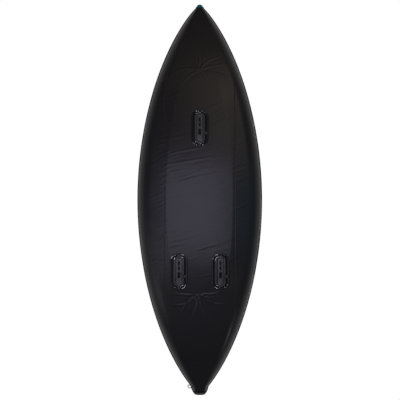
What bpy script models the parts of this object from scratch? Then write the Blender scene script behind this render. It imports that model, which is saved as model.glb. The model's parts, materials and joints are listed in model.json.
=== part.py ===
"""Two-seat inflatable kayak, upright on its three fin boxes, which touch z = 0.

Metres, +Z up. The bow points to -Y, port is +X. The hull is a set of lofts through shared
stations: two side tubes, a flat floor chamber between them and one taut skin below.
"""

import math

import bmesh
import bpy
from mathutils import Matrix, Vector

# Whole boat
LENGTH = 3.26
BEAM = 1.034
FULLNESS = 0.8
GAP = 0.0003
SKIN = 0.0015
CHAMBER_ROOM = 0.003

# Side tubes and the curve of the keel
TUBE_RADIUS = 0.13
TUBE_TAPER_SHARE = 0.5
TIP_DROP_SHARE = 0.5
TUBE_LIFT = 0.02
LIFT_FADE = 0.35
FLAT_HALF = 0.74
ROCKER = 0.2
ROCKER_POWER = 2.2
BLEND = 0.02
PIPING_RADIUS = 0.004

# Floor chamber and the seams of the bottom skin
FLOOR_HALF = 0.272
FLOOR_THICK = 0.1
FLOOR_BOW = 1.05
FLOOR_STERN = 0.77
FLOOR_CLEARANCE = 0.004
FLOOR_CORNER = 0.012
FLOOR_SHOULDER = 0.045
FLOOR_END = 0.12
SEAM_HALF = 0.29
SEAM_SHARE = 0.8
CREASE_SHARE = 0.3
BILGE_BACK_SHARE = 0.88
COVER_END_DEG = 200
COVER_DRAWN_DEG = 22
CHAMBER_SHARE = 0.95

# Decks
DECK_BOW_EDGE = 0.8
DECK_STERN_EDGE = 0.84
COCKPIT_CUT_HALF = 0.25
COCKPIT_CUT_DEPTH = 0.22
DECK_PIPING_RADIUS = 0.005
DECK_PIPING_ROOM = 0.0006
DECK_ANGLE = 45

# Fin boxes, by their places on the underside
FIN_RISE = 0.014
FIN_FRONT_Y = -0.587
FIN_REAR_Y = 0.586
FIN_REAR_X = 0.17
FIN_HALF_WIDTH = 0.071
FIN_HALF_LENGTH = 0.1465
FIN_CORNER = 0.06
FIN_PLATE = 0.0035
FIN_LIP_INSET = 0.003
FIN_LIP_WIDTH = 0.006
FIN_LIP_RISE = 0.009
BOSS_HALF_WIDTH = 0.0465
BOSS_HALF_LENGTH = 0.125
BOSS_CORNER = 0.03
BOSS_RISE = 0.0125
BOSS_SLOPE = 0.004
RAIL_HALF_WIDTH = 0.0225
RAIL_HALF_LENGTH = 0.104
RAIL_CORNER = 0.003
RAIL_GROOVE = 0.003
CHANNEL_HALF = 0.0075
CHANNEL_CAVITY_HALF = 0.0105
CHANNEL_LEDGE = 0.0055
CHANNEL_DEPTH = 0.0105
CHANNEL_START = -0.092
RUNG_COUNT = 6
RUNG_WIDTH = 0.005
RUNG_RISE = 0.0015
POCKET_START = 0.008
POCKET_END = 0.052
POCKET_DEPTH = 0.0125
CUT_OVERRUN = 0.004

# Sliding lock of a fin box
LATCH_Y = 0.04
LATCH_BOLT_HALF = 0.0029
LATCH_RISE = 0.0046
LATCH_THICK = 0.005
LATCH_PLATE_HALF = 0.011
LATCH_PLATE_START = 0.044
LATCH_PLATE_END = 0.0605
LATCH_TRAVEL = 0.011
LATCH_CLEARANCE = 0.0005
LATCH_GRIP = 0.003
LATCH_RIDGE_PITCH = 0.0045
LATCH_RIDGE_HALF = 0.001

# Valves
VALVE_TUBE_Y = 0.64
VALVE_FLOOR_SHARE = 0.515
VALVE_FLOOR_Y = -0.48
VALVE_FLANGE_RADIUS = 0.026
VALVE_FLANGE_THICK = 0.003
VALVE_CHAMFER_SHARE = 0.4
VALVE_BARREL_RADIUS = 0.0185
VALVE_BARREL_DEPTH = 0.022
VALVE_COLLAR_RADIUS = 0.0175
VALVE_COLLAR_RISE = 0.011
VALVE_THREAD_SHARES = (0.5, 0.6, 0.75, 0.85)
VALVE_BORE_RADIUS = 0.012
VALVE_WEB_DEPTH = 0.006
VALVE_WEB_THICK = 0.003
VALVE_PIN_RADIUS = 0.0022
VALVE_PIN_CLEARANCE = 0.0005
VALVE_HEAD_RADIUS = 0.004
VALVE_HEAD_THICK = 0.002
VALVE_TRAVEL = 0.004
CAP_RADIUS = 0.021
CAP_THICK = 0.005
CAP_BEVEL = 0.0012
CAP_GRIP_RISE = 0.005
CAP_GRIP_HALF_WIDTH = 0.0025
VALVE_SIDES = 16
PIN_SIDES = 12

# Seats
SEAT_BASE_HALF_WIDTH = 0.18
SEAT_BASE_LENGTH = 0.33
SEAT_BASE_THICK = 0.052
SEAT_RIM_SHARE = 0.42
SEAT_GRID = (12, 18)
SEAT_ROUNDING_SHARES = (0.18, 0.12)
SEAT_FRONT_HINGE_Y = -0.06
SEAT_REAR_HINGE_Y = 0.72
SEAT_BEAD_RADIUS = 0.006
SEAT_BEAD_SINK = 0.0015
SEAT_BEAD_OFFSET = 0.002
SEAT_BEAD_DROP = 0.026
SEAT_BEAD_SHARE = 0.8
SEAT_CHANNEL_SHARES = (0.25, 0.5, 0.75)
SEAT_CHANNEL_DEPTH = 0.009
SEAT_CHANNEL_WIDTH = 0.012
SEAT_RIM_BULGE = 0.008
BACK_FOOT_RADIUS = 0.01
BACK_HEIGHT = 0.37
BACK_HALF_WIDTH = 0.18
BACK_THICK = 0.05
BACK_LEAN_DEG = 12
BACK_WRAP = 0.03
BACK_FOOT_SHARE = 0.86
BACK_GRID = (14, 14)
BACK_ROUNDING_SHARES = (0.3, 0.2)
BACK_CHANNEL_SHARES = (-0.5, 0, 0.5)
BACK_CHANNEL_DEPTH = 0.0063
BACK_BAND_HEIGHT = 0.26
BACK_BAND_HALF = 0.019
BACK_BAND_THICK = 0.002
BACK_BAND_OVERHANG = 0.006
BAND_STEPS = 8

# Seat straps and their anchors on the tubes
STRAP_HALF_WIDTH = 0.0125
STRAP_THICK = 0.002
STRAP_SAG = 0.006
STRAP_REACH = 0.4
STRAP_STEPS = 8
ANCHOR_HALF_LENGTH = 0.035
ANCHOR_ANGLE = 15
PATCH_THICK = 0.002
ANCHOR_POST_HALF = 0.012
ANCHOR_POST_RISE = 0.012
POST_SHARES = ((0, 1), (0.4, 0.8), (1, 0.62))
POST_THIN_SHARE = 0.45
BUCKLE_HALF_WIDTH = 0.018
BUCKLE_HALF_LENGTH = 0.014
BUCKLE_THICK = 0.008
BUCKLE_SHARE = 0.16
BUCKLE_WINDOW = 0.006
BUCKLE_CLEARANCE = 0.001

# Foot bolsters
FOOTREST_RADIUS = 0.055
FOOTREST_END = 0.03
FOOTREST_END_SHARES = (0, 0.25, 0.6, 1)
FOOTREST_ROUND_SHARE = 0.75
FOOTREST_WAIST_SHARE = 0.96
FOOTREST_SIDES = 20
FOOTREST_FRONT_Y = -0.8
FOOTREST_FRONT_HALF = 0.125
FOOTREST_REAR_Y = 0.13
FOOTREST_REAR_HALF = 0.165

# Loops on the decks: carry handles and small rings, each in a webbing sleeve
HANDLE_SHARE = 0.79
HANDLE_BAR_HALF = 0.055
HANDLE_DEPTH = 0.06
HANDLE_ROD = 0.006
HANDLE_CORNER = 0.016
HANDLE_SLEEVE_HALF = 0.03
RING_SHARE = 0.7
RING_BAR_HALF = 0.019
RING_DEPTH = 0.032
RING_ROD = 0.0025
RING_CORNER = 0.009
RING_SLEEVE_HALF = 0.011
SLEEVE_WALL = 0.002
LOOP_CLEARANCE = 0.0005
PATCH_MARGIN = 0.014

# Nose and tail: the tail ends blunter than the nose
TIP_SHARE = 0.985
TIP_CORNER = 0.008
BOW_TIP_HALF_WIDTH = 0.008
STERN_TIP_HALF_WIDTH = 0.03
TIP_HALF_HEIGHT = 0.034
STERN_FLARE = 0.025
STERN_FLARE_SHARE = 0.95

# Webbing loop low on the tail's starboard side
SIDE_LOOP_SHARE = 0.9528
SIDE_LOOP_ANGLE = -24
SIDE_LOOP_RADIUS = 0.0155
SIDE_LOOP_BAND_HALF = 0.0035
SIDE_LOOP_THICK = 0.0024
SIDE_LOOP_RISE_DEG = 35
SIDE_LOOP_SEGMENTS = 14
SIDE_TAB_HALF = 0.009
SIDE_TAB_END = -50
SIDE_TAB_LIFT = 0.0006

# Facet counts and the stations' shares of the half length
STATION_SHARES = (0, 0.12, 0.24, 0.35, 0.454, 0.56, 0.66, 0.75, 0.83, 0.9, 0.95, TIP_SHARE)
TUBE_STEP_DEG = 15
PANEL_STEPS = 5
BILGE_STEPS = 9
ROUND_STEPS = 6
COARSE_STEPS = 2
CUT_STEPS = 24

HALF_LENGTH = LENGTH / 2
PIPING_ROOM = GAP + 2 * PIPING_RADIUS
SLAB_LIFT = SKIN + GAP
SLAB_LEVELS = 8
END_SHARES = ((0, 0.62, 0.5), (0.12, 0.8, 0.76), (0.4, 0.94, 0.94), (1, 1, 1))
CAP_SHARES = ((0, 1), (0.35, 0.82), (0.75, 0.5), (1, 0.28))


def clear_scene():
    for obj in list(bpy.data.objects):
        bpy.data.objects.remove(obj)


def make_material(name, colour, roughness, metallic=0.0):
    material = bpy.data.materials.new(name)
    material.use_nodes = True
    shader = material.node_tree.nodes["Principled BSDF"]
    shader.inputs["Base Color"].default_value = (*colour, 1)
    shader.inputs["Roughness"].default_value = roughness
    shader.inputs["Metallic"].default_value = metallic
    material.diffuse_color = (*colour, 1)
    return material


def make_object(name, bm, material, matrix=None):
    """A named object from a bmesh, smooth with sharp edges kept."""
    bmesh.ops.recalc_face_normals(bm, faces=bm.faces)
    mesh = bpy.data.meshes.new(name)
    bm.to_mesh(mesh)
    bm.free()
    mesh.materials.append(material)
    mesh.shade_smooth()
    mesh.set_sharp_from_angle(angle=math.radians(35))
    obj = bpy.data.objects.new(name, mesh)
    if matrix:
        obj.matrix_world = matrix
    bpy.context.scene.collection.objects.link(obj)
    return obj


def as_cutter(obj):
    obj.hide_render = True
    obj.display_type = "WIRE"
    return obj


def combine(target, others, operation):
    """Adds one exact Boolean for each other object, which becomes a helper."""
    for other in others:
        modifier = target.modifiers.new(operation.title(), "BOOLEAN")
        modifier.operation = operation
        modifier.solver = "EXACT"
        modifier.object = as_cutter(other)
    return target


def add_quad(bm, a, b, c, d):
    """Two triangles split along the shorter diagonal, so that neighbouring skins fold alike."""
    if (a.co - c.co).length <= (b.co - d.co).length:
        bm.faces.new((a, b, c))
        bm.faces.new((a, c, d))
    else:
        bm.faces.new((a, b, d))
        bm.faces.new((b, c, d))


def loft(name, sections, material, matrix=None, closed=False):
    """A solid through equal-length rings of points, with flat ends or closed on itself."""
    bm = bmesh.new()
    rings = [[bm.verts.new(point) for point in section] for section in sections]
    count = len(rings[0])
    pairs = list(zip(rings, rings[1:]))
    if closed:
        pairs.append((rings[-1], rings[0]))
    for first, second in pairs:
        for i in range(count):
            add_quad(bm, first[i], first[(i + 1) % count], second[(i + 1) % count], second[i])
    if not closed:
        bm.faces.new(rings[0])
        bm.faces.new(rings[-1])
    return make_object(name, bm, material, matrix)


def revolve(name, profile, material, matrix=None, sides=VALVE_SIDES):
    """A turned solid about Z from a closed profile of (radius, height) that clears the axis."""
    sections = []
    for k in range(sides):
        angle = 2 * math.pi * k / sides
        sections.append([(r * math.cos(angle), r * math.sin(angle), z) for r, z in profile])
    return loft(name, sections, material, matrix, closed=True)


def turned(name, rings, material, matrix=None, sides=VALVE_SIDES):
    """A solid disc or rod about Z through (radius, height) rings, with flat ends."""
    sections = []
    for radius, z in rings:
        angles = [2 * math.pi * k / sides for k in range(sides)]
        sections.append([(radius * math.cos(a), radius * math.sin(a), z) for a in angles])
    return loft(name, sections, material, matrix)


def box(name, low, high, material, matrix=None):
    sections = []
    for z in (low[2], high[2]):
        corners = ((low[0], low[1]), (high[0], low[1]), (high[0], high[1]), (low[0], high[1]))
        sections.append([(x, y, z) for x, y in corners])
    return loft(name, sections, material, matrix)


def rounded_outline(half_x, half_y, radius, steps=ROUND_STEPS):
    """Points round a rectangle with arcs at its corners, anticlockwise."""
    points = []
    for k, (sx, sy) in enumerate(((1, -1), (1, 1), (-1, 1), (-1, -1))):
        for step in range(steps + 1):
            angle = math.radians(90 * (k - 1) + 90 * step / steps)
            x = sx * (half_x - radius) + radius * math.cos(angle)
            y = sy * (half_y - radius) + radius * math.sin(angle)
            points.append((x, y))
    return points


def plate(name, half_x, half_y, radius, heights, material, matrix=None, insets=(0, 0), steps=ROUND_STEPS):
    """A rounded rectangular plate between two heights, each with its own inset."""
    sections = []
    for z, inset in zip(heights, insets):
        outline = rounded_outline(half_x - inset, half_y - inset, radius, steps)
        sections.append([(x, y, z) for x, y in outline])
    return loft(name, sections, material, matrix)


def soft_min(a, b):
    return (a + b - math.hypot(a - b, BLEND)) / 2


def smooth_step(value):
    value = min(1, max(0, value))
    return value * value * (3 - 2 * value)


def slab_inset(height):
    """How far the floor chamber's side lies inside its full width at a height above its base."""
    if height < FLOOR_CORNER:
        drop, radius = FLOOR_CORNER - height, FLOOR_CORNER
    elif height > FLOOR_THICK - FLOOR_SHOULDER:
        drop, radius = height - (FLOOR_THICK - FLOOR_SHOULDER), FLOOR_SHOULDER
    else:
        return 0
    return radius - math.sqrt(max(0, radius * radius - drop * drop))


def exact_section(y):
    """The hull's driving values at a station: outer edge, tube ellipse, floor height and widths."""
    share = abs(y) / HALF_LENGTH
    outer = BEAM / 2 * (1 - share * share) ** FULLNESS - PIPING_ROOM
    if y > 0:
        outer += STERN_FLARE * smooth_step((share - STERN_FLARE_SHARE) / (TIP_SHARE - STERN_FLARE_SHARE))
    width = soft_min(TUBE_RADIUS * (1 - TUBE_TAPER_SHARE * share * share), outer / 2 - GAP)
    height = TUBE_RADIUS * (1 - TIP_DROP_SHARE * share**5)
    run = max(0, abs(y) - FLAT_HALF) / (HALF_LENGTH - FLAT_HALF)
    floor_z = FIN_RISE + GAP + ROCKER * run**ROCKER_POWER
    lift = TUBE_LIFT * smooth_step(min(y + FLOOR_BOW, FLOOR_STERN - y) / LIFT_FADE)
    centre_x = outer - width
    centre_z = floor_z + lift + height
    seam = soft_min(SEAM_HALF, SEAM_SHARE * outer)
    room = FLOOR_HALF
    for level in range(SLAB_LEVELS + 1):
        z = FLOOR_THICK * level / SLAB_LEVELS
        reach = (floor_z + SLAB_LIFT + z - centre_z) / height
        inner = centre_x - width * math.sqrt(max(0, 1 - reach * reach))
        room = min(room, inner + slab_inset(z) - FLOOR_CLEARANCE)
    floor_half = max(room, CREASE_SHARE * seam)
    return outer, width, height, floor_z, centre_x, centre_z, seam, floor_half


def station_rows(limit):
    shares = [s for s in STATION_SHARES if s <= limit]
    return sorted({sign * s * HALF_LENGTH for s in shares for sign in (-1, 1)})


STATIONS = station_rows(TIP_SHARE)
SECTIONS = [exact_section(y) for y in STATIONS]


def section(y):
    """The section at any y, straight between the stations, so that all lofts share their facets."""
    for k in range(len(STATIONS) - 2):
        if y <= STATIONS[k + 1]:
            break
    else:
        k = len(STATIONS) - 2
    share = (y - STATIONS[k]) / (STATIONS[k + 1] - STATIONS[k])
    return tuple(a + (b - a) * share for a, b in zip(SECTIONS[k], SECTIONS[k + 1]))


def rows_between(start, end):
    """The two ends and every station between them."""
    return [start] + [y for y in STATIONS if start + GAP < y < end - GAP] + [end]


def top_z(y):
    _, _, height, _, _, centre_z, _, _ = section(y)
    return centre_z + height


def deck_z(y):
    return top_z(y) + GAP + SKIN


def slab_top(y):
    return section(y)[3] + SLAB_LIFT + FLOOR_THICK


def tube_point(values, degrees, offset=0.0):
    """A point on the tube's ellipse, moved out by an offset."""
    _, width, height, _, centre_x, centre_z, _, _ = values
    angle = math.radians(degrees)
    return centre_x + (width + offset) * math.cos(angle), centre_z + (height + offset) * math.sin(angle)


def tangent_angle(values):
    """Where the taut bottom skin leaves the tube on its way to the floor chamber's edge."""
    _, width, height, floor_z, centre_x, centre_z, _, floor_half = values
    u = (floor_half - centre_x) / width
    v = (floor_z - centre_z) / height
    reach = max(1, math.hypot(u, v))
    return math.degrees(math.atan2(v, u) + math.acos(1 / reach))


def underside(values, x):
    """Height and slope of the bottom skin's outer face at a half breadth x."""
    _, width, height, floor_z, centre_x, centre_z, _, floor_half = values
    touch_x, touch_z = tube_point(values, tangent_angle(values))
    if x <= floor_half:
        return floor_z, 0
    if x <= touch_x:
        slope = (touch_z - floor_z) / (touch_x - floor_half)
        return floor_z + slope * (x - floor_half), slope
    share = (x - centre_x) / width
    root = math.sqrt(1 - share * share)
    return centre_z - height * root, height * share / (width * root)


def skin_point(values, x, depth):
    """A point of the bottom skin at a half breadth, moved inwards square to the skin."""
    z, slope = underside(values, x)
    length = math.hypot(1, slope)
    return x - slope / length * depth, z + depth / length


def panel_halves(values):
    """Half breadths of the centre panel's points: closer together where it turns round the tube."""
    _, width, _, _, centre_x, _, seam, floor_half = values
    touch = tangent_angle(values)
    touch_x = tube_point(values, touch)[0]
    edge = seam - GAP
    halves = [0, floor_half / 2, floor_half]
    if edge <= touch_x:
        step = (edge - floor_half) / PANEL_STEPS
        return halves + [floor_half + step * k for k in range(1, PANEL_STEPS + 1)]
    last = -math.degrees(math.acos((edge - centre_x) / width))
    arc = PANEL_STEPS - 1
    return halves + [tube_point(values, touch + (last - touch) * k / arc)[0] for k in range(arc + 1)]


def bottom_panel_section(y):
    values = section(y)
    halves = panel_halves(values)
    ring = []
    for depth, order in ((0, 1), (SKIN, -1)):
        right = [skin_point(values, x, depth) for x in halves]
        row = [(-x, y, z) for x, z in right[:0:-1]] + [(x, y, z) for x, z in right]
        ring += row[::order]
    return ring


def bilge_section(y, side):
    """The side panel of the bottom skin, from the seam round the tube to its widest line."""
    values = section(y)
    _, width, height, _, centre_x, _, seam, _ = values
    seam_angle = -90.0
    if seam > centre_x:
        seam_angle = -math.degrees(math.acos((seam - centre_x) / width))
    first = max(tangent_angle(values), seam_angle * BILGE_BACK_SHARE)
    last = -math.degrees(GAP / height)
    angles = [first + (last - first) * k / BILGE_STEPS for k in range(BILGE_STEPS + 1)]
    ring = []
    for depth, order in ((0, 1), (SKIN, -1)):
        row = [skin_point(values, seam + GAP, depth)]
        row += [tube_point(values, angle, -depth) for angle in angles]
        ring += row[::order]
    return [(side * x, y, z) for x, z in ring]


def cover_section(y, side):
    """The top cover of a tube, from its widest line over the crown to the cockpit floor."""
    values = section(y)
    share = abs(y) / HALF_LENGTH
    start = math.degrees(GAP / values[2])
    end = COVER_END_DEG - COVER_DRAWN_DEG * share * share
    fixed = [TUBE_STEP_DEG * k for k in range(1, 12)]
    angles = [start] + fixed + [fixed[-1] + (end - fixed[-1]) * k / 3 for k in (1, 2, 3)]
    outer = [tube_point(values, angle) for angle in angles]
    inner = [tube_point(values, angle, -SKIN) for angle in angles]
    return [(side * x, y, z) for x, z in outer + inner[::-1]]


def chamber_section(y, side):
    values = section(y)
    step = 2 * TUBE_STEP_DEG
    ring = [tube_point(values, step * k, -SKIN - CHAMBER_ROOM) for k in range(360 // step)]
    return [(side * x, y, z) for x, z in ring]


def piping_section(y, side):
    outer, centre_z = section(y)[0], section(y)[5]
    ring = []
    for k in range(6):
        angle = math.radians(60 * k)
        x = outer + GAP + PIPING_RADIUS * (1 + math.cos(angle))
        ring.append((side * x, y, centre_z + PIPING_RADIUS * math.sin(angle)))
    return ring


def slab_section(y, width_share, thick_share):
    """The floor chamber's outline, lower and narrower towards its two ends."""
    values = section(y)
    half = values[7] * width_share
    base = values[3] + SLAB_LIFT
    heights = [FLOOR_CORNER * k / 3 for k in range(3)]
    heights += [FLOOR_CORNER, FLOOR_THICK - FLOOR_SHOULDER]
    for degrees in (30, 60, 90):
        heights.append(FLOOR_THICK - FLOOR_SHOULDER * (1 - math.sin(math.radians(degrees))))
    side = [(half - slab_inset(z), base + z * thick_share) for z in heights]
    return [(x, y, z) for x, z in side] + [(-x, y, z) for x, z in side[::-1]]


def deck_section(y):
    """The deck cloth lies over both crowns and is drawn straight between them."""
    values = section(y)
    steps = int(DECK_ANGLE / TUBE_STEP_DEG)
    angles = [90 - DECK_ANGLE + TUBE_STEP_DEG * k for k in range(steps + 1)]
    ring = []
    for offset, order in ((GAP + SKIN, 1), (GAP, -1)):
        right = [tube_point(values, angle, offset) for angle in angles]
        row = right + [(0, right[-1][1])] + [(-x, z) for x, z in right[::-1]]
        ring += row[::order]
    return [(x, y, z) for x, z in ring]


def make_hull(materials):
    bottom, top, inner, trim = (materials[key] for key in ("bottom", "top", "bladder", "trim"))
    loft("bottom_center_panel", [bottom_panel_section(y) for y in STATIONS], bottom)
    inner_rows = station_rows(CHAMBER_SHARE)
    for name, side in (("left", 1), ("right", -1)):
        loft(f"{name}_bilge_panel", [bilge_section(y, side) for y in STATIONS], bottom)
        loft(f"{name}_tube_cover", [cover_section(y, side) for y in STATIONS], top)
        loft(f"{name}_tube_chamber", [chamber_section(y, side) for y in inner_rows], inner)
        loft(f"{name}_seam_piping", [piping_section(y, side) for y in STATIONS], trim)
    bow, stern = -FLOOR_BOW, FLOOR_STERN
    rows = [(bow + share * FLOOR_END, w, t) for share, w, t in END_SHARES]
    rows += [(y, 1, 1) for y in rows_between(bow + FLOOR_END, stern - FLOOR_END)[1:-1]]
    rows += [(stern - share * FLOOR_END, w, t) for share, w, t in END_SHARES[::-1]]
    loft("floor_chamber", [slab_section(*row) for row in rows], inner)


def cut_curve(sign, edge, extra):
    """Points of the cockpit's rounded end on a deck, in plan, from port to starboard."""
    points = []
    for k in range(CUT_STEPS + 1):
        angle = math.pi * k / CUT_STEPS
        x = (COCKPIT_CUT_HALF + extra) * math.cos(angle)
        y = sign * (edge + (COCKPIT_CUT_DEPTH + extra) * math.sin(angle))
        points.append((x, y))
    return points


def make_decks(materials):
    for name, sign, edge in (("bow", -1, DECK_BOW_EDGE), ("stern", 1, DECK_STERN_EDGE)):
        tip = TIP_SHARE * HALF_LENGTH
        rows = rows_between(*sorted((sign * edge, sign * tip)))
        deck = loft(f"{name}_deck", [deck_section(y) for y in rows], materials["deck"])
        outline = cut_curve(sign, edge, 0)
        outline += [(x, sign * (edge - COCKPIT_CUT_DEPTH)) for x in (-COCKPIT_CUT_HALF, COCKPIT_CUT_HALF)]
        heights = (FIN_RISE, 2 * deck_z(edge))
        prism = [[(x, y, z) for x, y in outline] for z in heights]
        cutter = loft(f"{name}_cockpit_cut", prism, materials["deck"])
        combine(deck, [cutter], "DIFFERENCE")
        lift = DECK_PIPING_RADIUS + DECK_PIPING_ROOM
        path = [(x, y, deck_z(y) + lift) for x, y in cut_curve(sign, edge, DECK_PIPING_RADIUS)]
        path = [p for p in path if abs(p[1]) >= edge]
        tube(f"{name}_deck_piping", path, DECK_PIPING_RADIUS, materials["trim"])


def tube(name, points, radius, material, matrix=None, cyclic=False, resolution=2):
    """A round rod along points, as a curve with a bevel."""
    curve = bpy.data.curves.new(name, "CURVE")
    curve.dimensions = "3D"
    curve.bevel_depth = radius
    curve.bevel_resolution = resolution
    curve.use_fill_caps = not cyclic
    spline = curve.splines.new("POLY")
    spline.points.add(len(points) - 1)
    spline.use_cyclic_u = cyclic
    for point, place in zip(spline.points, points):
        point.co = (*place, 1)
    curve.materials.append(material)
    obj = bpy.data.objects.new(name, curve)
    if matrix:
        obj.matrix_world = matrix
    bpy.context.scene.collection.objects.link(obj)
    return obj


def make_tips(materials):
    """Moulded caps that close the two points of the hull."""
    start = TIP_SHARE * HALF_LENGTH + GAP
    for name, sign, end_half, key in (
        ("bow", -1, BOW_TIP_HALF_WIDTH, "top"),
        ("stern", 1, STERN_TIP_HALF_WIDTH, "trim"),
    ):
        outer, _, height, _, _, centre_z, _, _ = section(sign * TIP_SHARE * HALF_LENGTH)
        sections = []
        for along, size in CAP_SHARES:
            y = sign * (start + (HALF_LENGTH - start) * along)
            half_x = end_half + (outer + PIPING_ROOM - end_half) * (size - CAP_SHARES[-1][1])
            half_z = TIP_HALF_HEIGHT + (height + SKIN - TIP_HALF_HEIGHT) * size
            outline = rounded_outline(half_x, half_z, TIP_CORNER)
            sections.append([(x, y, centre_z + z) for x, z in outline])
        loft(f"{name}_tip_cap", sections, materials[key])


def make_side_loop(materials):
    """A flat webbing ring on a tab that is sewn to the bilge beside the tail."""
    y = SIDE_LOOP_SHARE * HALF_LENGTH
    feet = []
    for row in (y - SIDE_TAB_HALF, y + SIDE_TAB_HALF):
        x, z = tube_point(section(row), SIDE_LOOP_ANGLE, SIDE_TAB_LIFT + SIDE_LOOP_THICK)
        feet.append(Vector((-x, row, z)))
    along = (feet[1] - feet[0]).normalized()
    rise = math.radians(SIDE_LOOP_RISE_DEG)
    up = Vector((math.sin(rise), 0, math.cos(rise))).cross(along).cross(-along).normalized()
    out = up.cross(along)
    reach = SIDE_LOOP_RADIUS + SIDE_LOOP_BAND_HALF - SIDE_LOOP_THICK / 2
    centre = (feet[0] + feet[1]) / 2 + out * reach
    rings = []
    for k in range(SIDE_LOOP_SEGMENTS):
        angle = 2 * math.pi * k / SIDE_LOOP_SEGMENTS
        spoke = out * math.cos(angle) + along * math.sin(angle)
        ring = []
        for a, b in ((-1, -1), (1, -1), (1, 1), (-1, 1)):
            away = SIDE_LOOP_RADIUS + a * SIDE_LOOP_BAND_HALF
            ring.append(centre + spoke * away + up * b * SIDE_LOOP_THICK / 2)
        rings.append(ring)
    loop = loft("stern_side_loop", rings, materials["webbing"], closed=True)
    tab = []
    steps = [SIDE_LOOP_ANGLE + (SIDE_TAB_END - SIDE_LOOP_ANGLE) * k / 3 for k in range(4)]
    for row in (y - SIDE_TAB_HALF, y + SIDE_TAB_HALF):
        there = section(row)
        points = [tube_point(there, angle, SIDE_TAB_LIFT) for angle in steps]
        points += [tube_point(there, angle, SIDE_TAB_LIFT + SIDE_LOOP_THICK) for angle in steps[::-1]]
        tab.append([(-x, row, z) for x, z in points])
    return combine(loop, [loft("stern_side_tab", tab, materials["webbing"])], "UNION")


def fin_prism(name, low, high, materials, origin):
    """A box in a fin box's own space, given by depths below the hull."""
    return box(name, (low[0], low[1], -high[2]), (high[0], high[1], -low[2]), materials["fin"], origin)


def make_fin_box(name, x, y, materials):
    """A moulded fin box: a flange with a lip, a sloped boss, a laddered channel between rails, a pocket."""
    origin = Matrix.Translation((x, y, FIN_RISE))
    material = materials["fin"]
    body = plate(name, FIN_HALF_WIDTH, FIN_HALF_LENGTH, FIN_CORNER, (-FIN_PLATE, 0), material, origin)
    lip_x, lip_y = FIN_HALF_WIDTH - FIN_LIP_INSET, FIN_HALF_LENGTH - FIN_LIP_INSET
    lip_corner = FIN_CORNER - FIN_LIP_INSET
    lip_heights = (-FIN_LIP_RISE, -GAP)
    lip = plate(f"{name}_lip", lip_x, lip_y, lip_corner, lip_heights, material, origin, (GAP, 0))
    trough = plate(
        f"{name}_trough",
        lip_x - FIN_LIP_WIDTH,
        lip_y - FIN_LIP_WIDTH,
        lip_corner - FIN_LIP_WIDTH,
        (-FIN_RISE, -FIN_PLATE),
        material,
        origin,
        (-FIN_PLATE, 0),
    )
    boss = plate(
        f"{name}_boss",
        BOSS_HALF_WIDTH,
        BOSS_HALF_LENGTH,
        BOSS_CORNER,
        (-BOSS_RISE, -GAP),
        material,
        origin,
        (BOSS_SLOPE, 0),
        COARSE_STEPS,
    )
    rails = plate(
        f"{name}_rails",
        RAIL_HALF_WIDTH,
        RAIL_HALF_LENGTH,
        RAIL_CORNER,
        (-FIN_RISE, -GAP),
        material,
        origin,
        steps=COARSE_STEPS,
    )
    top = FIN_RISE + CUT_OVERRUN
    channel_end = (POCKET_START + POCKET_END) / 2
    mouth = fin_prism(
        f"{name}_mouth",
        (-CHANNEL_HALF, CHANNEL_START, FIN_RISE - CHANNEL_DEPTH),
        (CHANNEL_HALF, channel_end, top),
        materials,
        origin,
    )
    cavity = fin_prism(
        f"{name}_cavity",
        (-CHANNEL_CAVITY_HALF, CHANNEL_START, FIN_RISE - CHANNEL_DEPTH),
        (CHANNEL_CAVITY_HALF, channel_end, FIN_RISE - CHANNEL_LEDGE),
        materials,
        origin,
    )
    pocket = fin_prism(
        f"{name}_pocket",
        (-CHANNEL_CAVITY_HALF, POCKET_START, FIN_RISE - POCKET_DEPTH),
        (CHANNEL_CAVITY_HALF, POCKET_END, top),
        materials,
        origin,
    )
    bolt_half = LATCH_BOLT_HALF + LATCH_CLEARANCE
    bolt_low, bolt_high = LATCH_RISE - LATCH_CLEARANCE, LATCH_RISE + LATCH_THICK + LATCH_CLEARANCE
    bore = fin_prism(
        f"{name}_bore",
        (0, LATCH_Y - bolt_half, bolt_low),
        (BOSS_HALF_WIDTH, LATCH_Y + bolt_half, bolt_high),
        materials,
        origin,
    )
    seat_half = LATCH_PLATE_HALF + LATCH_CLEARANCE
    seat = fin_prism(
        f"{name}_seat",
        (LATCH_PLATE_START - LATCH_TRAVEL - LATCH_CLEARANCE, LATCH_Y - seat_half, bolt_low),
        (BOSS_HALF_WIDTH + CUT_OVERRUN, LATCH_Y + seat_half, top),
        materials,
        origin,
    )
    groove_x = RAIL_HALF_WIDTH + RAIL_GROOVE
    groove_y = RAIL_HALF_LENGTH + RAIL_GROOVE
    groove = plate(
        f"{name}_groove",
        groove_x,
        groove_y,
        RAIL_CORNER,
        (-top, RAIL_GROOVE - BOSS_RISE),
        material,
        origin,
        steps=COARSE_STEPS,
    )
    combine(body, [lip], "UNION")
    combine(body, [trough], "DIFFERENCE")
    combine(body, [boss], "UNION")
    combine(body, [groove], "DIFFERENCE")
    combine(body, [rails], "UNION")
    combine(body, [mouth, cavity], "DIFFERENCE")
    pitch = (POCKET_START - CHANNEL_START) / (RUNG_COUNT + 1)
    for k in range(RUNG_COUNT):
        middle = CHANNEL_START + pitch * (k + 1)
        rung = fin_prism(
            f"{name}_rung_{k}",
            (-CHANNEL_CAVITY_HALF - GAP, middle - RUNG_WIDTH / 2, FIN_RISE - CHANNEL_DEPTH - GAP),
            (CHANNEL_CAVITY_HALF + GAP, middle + RUNG_WIDTH / 2, FIN_RISE - CHANNEL_DEPTH + RUNG_RISE),
            materials,
            origin,
        )
        combine(body, [rung], "UNION")
    return combine(body, [pocket, bore, seat], "DIFFERENCE")


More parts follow.
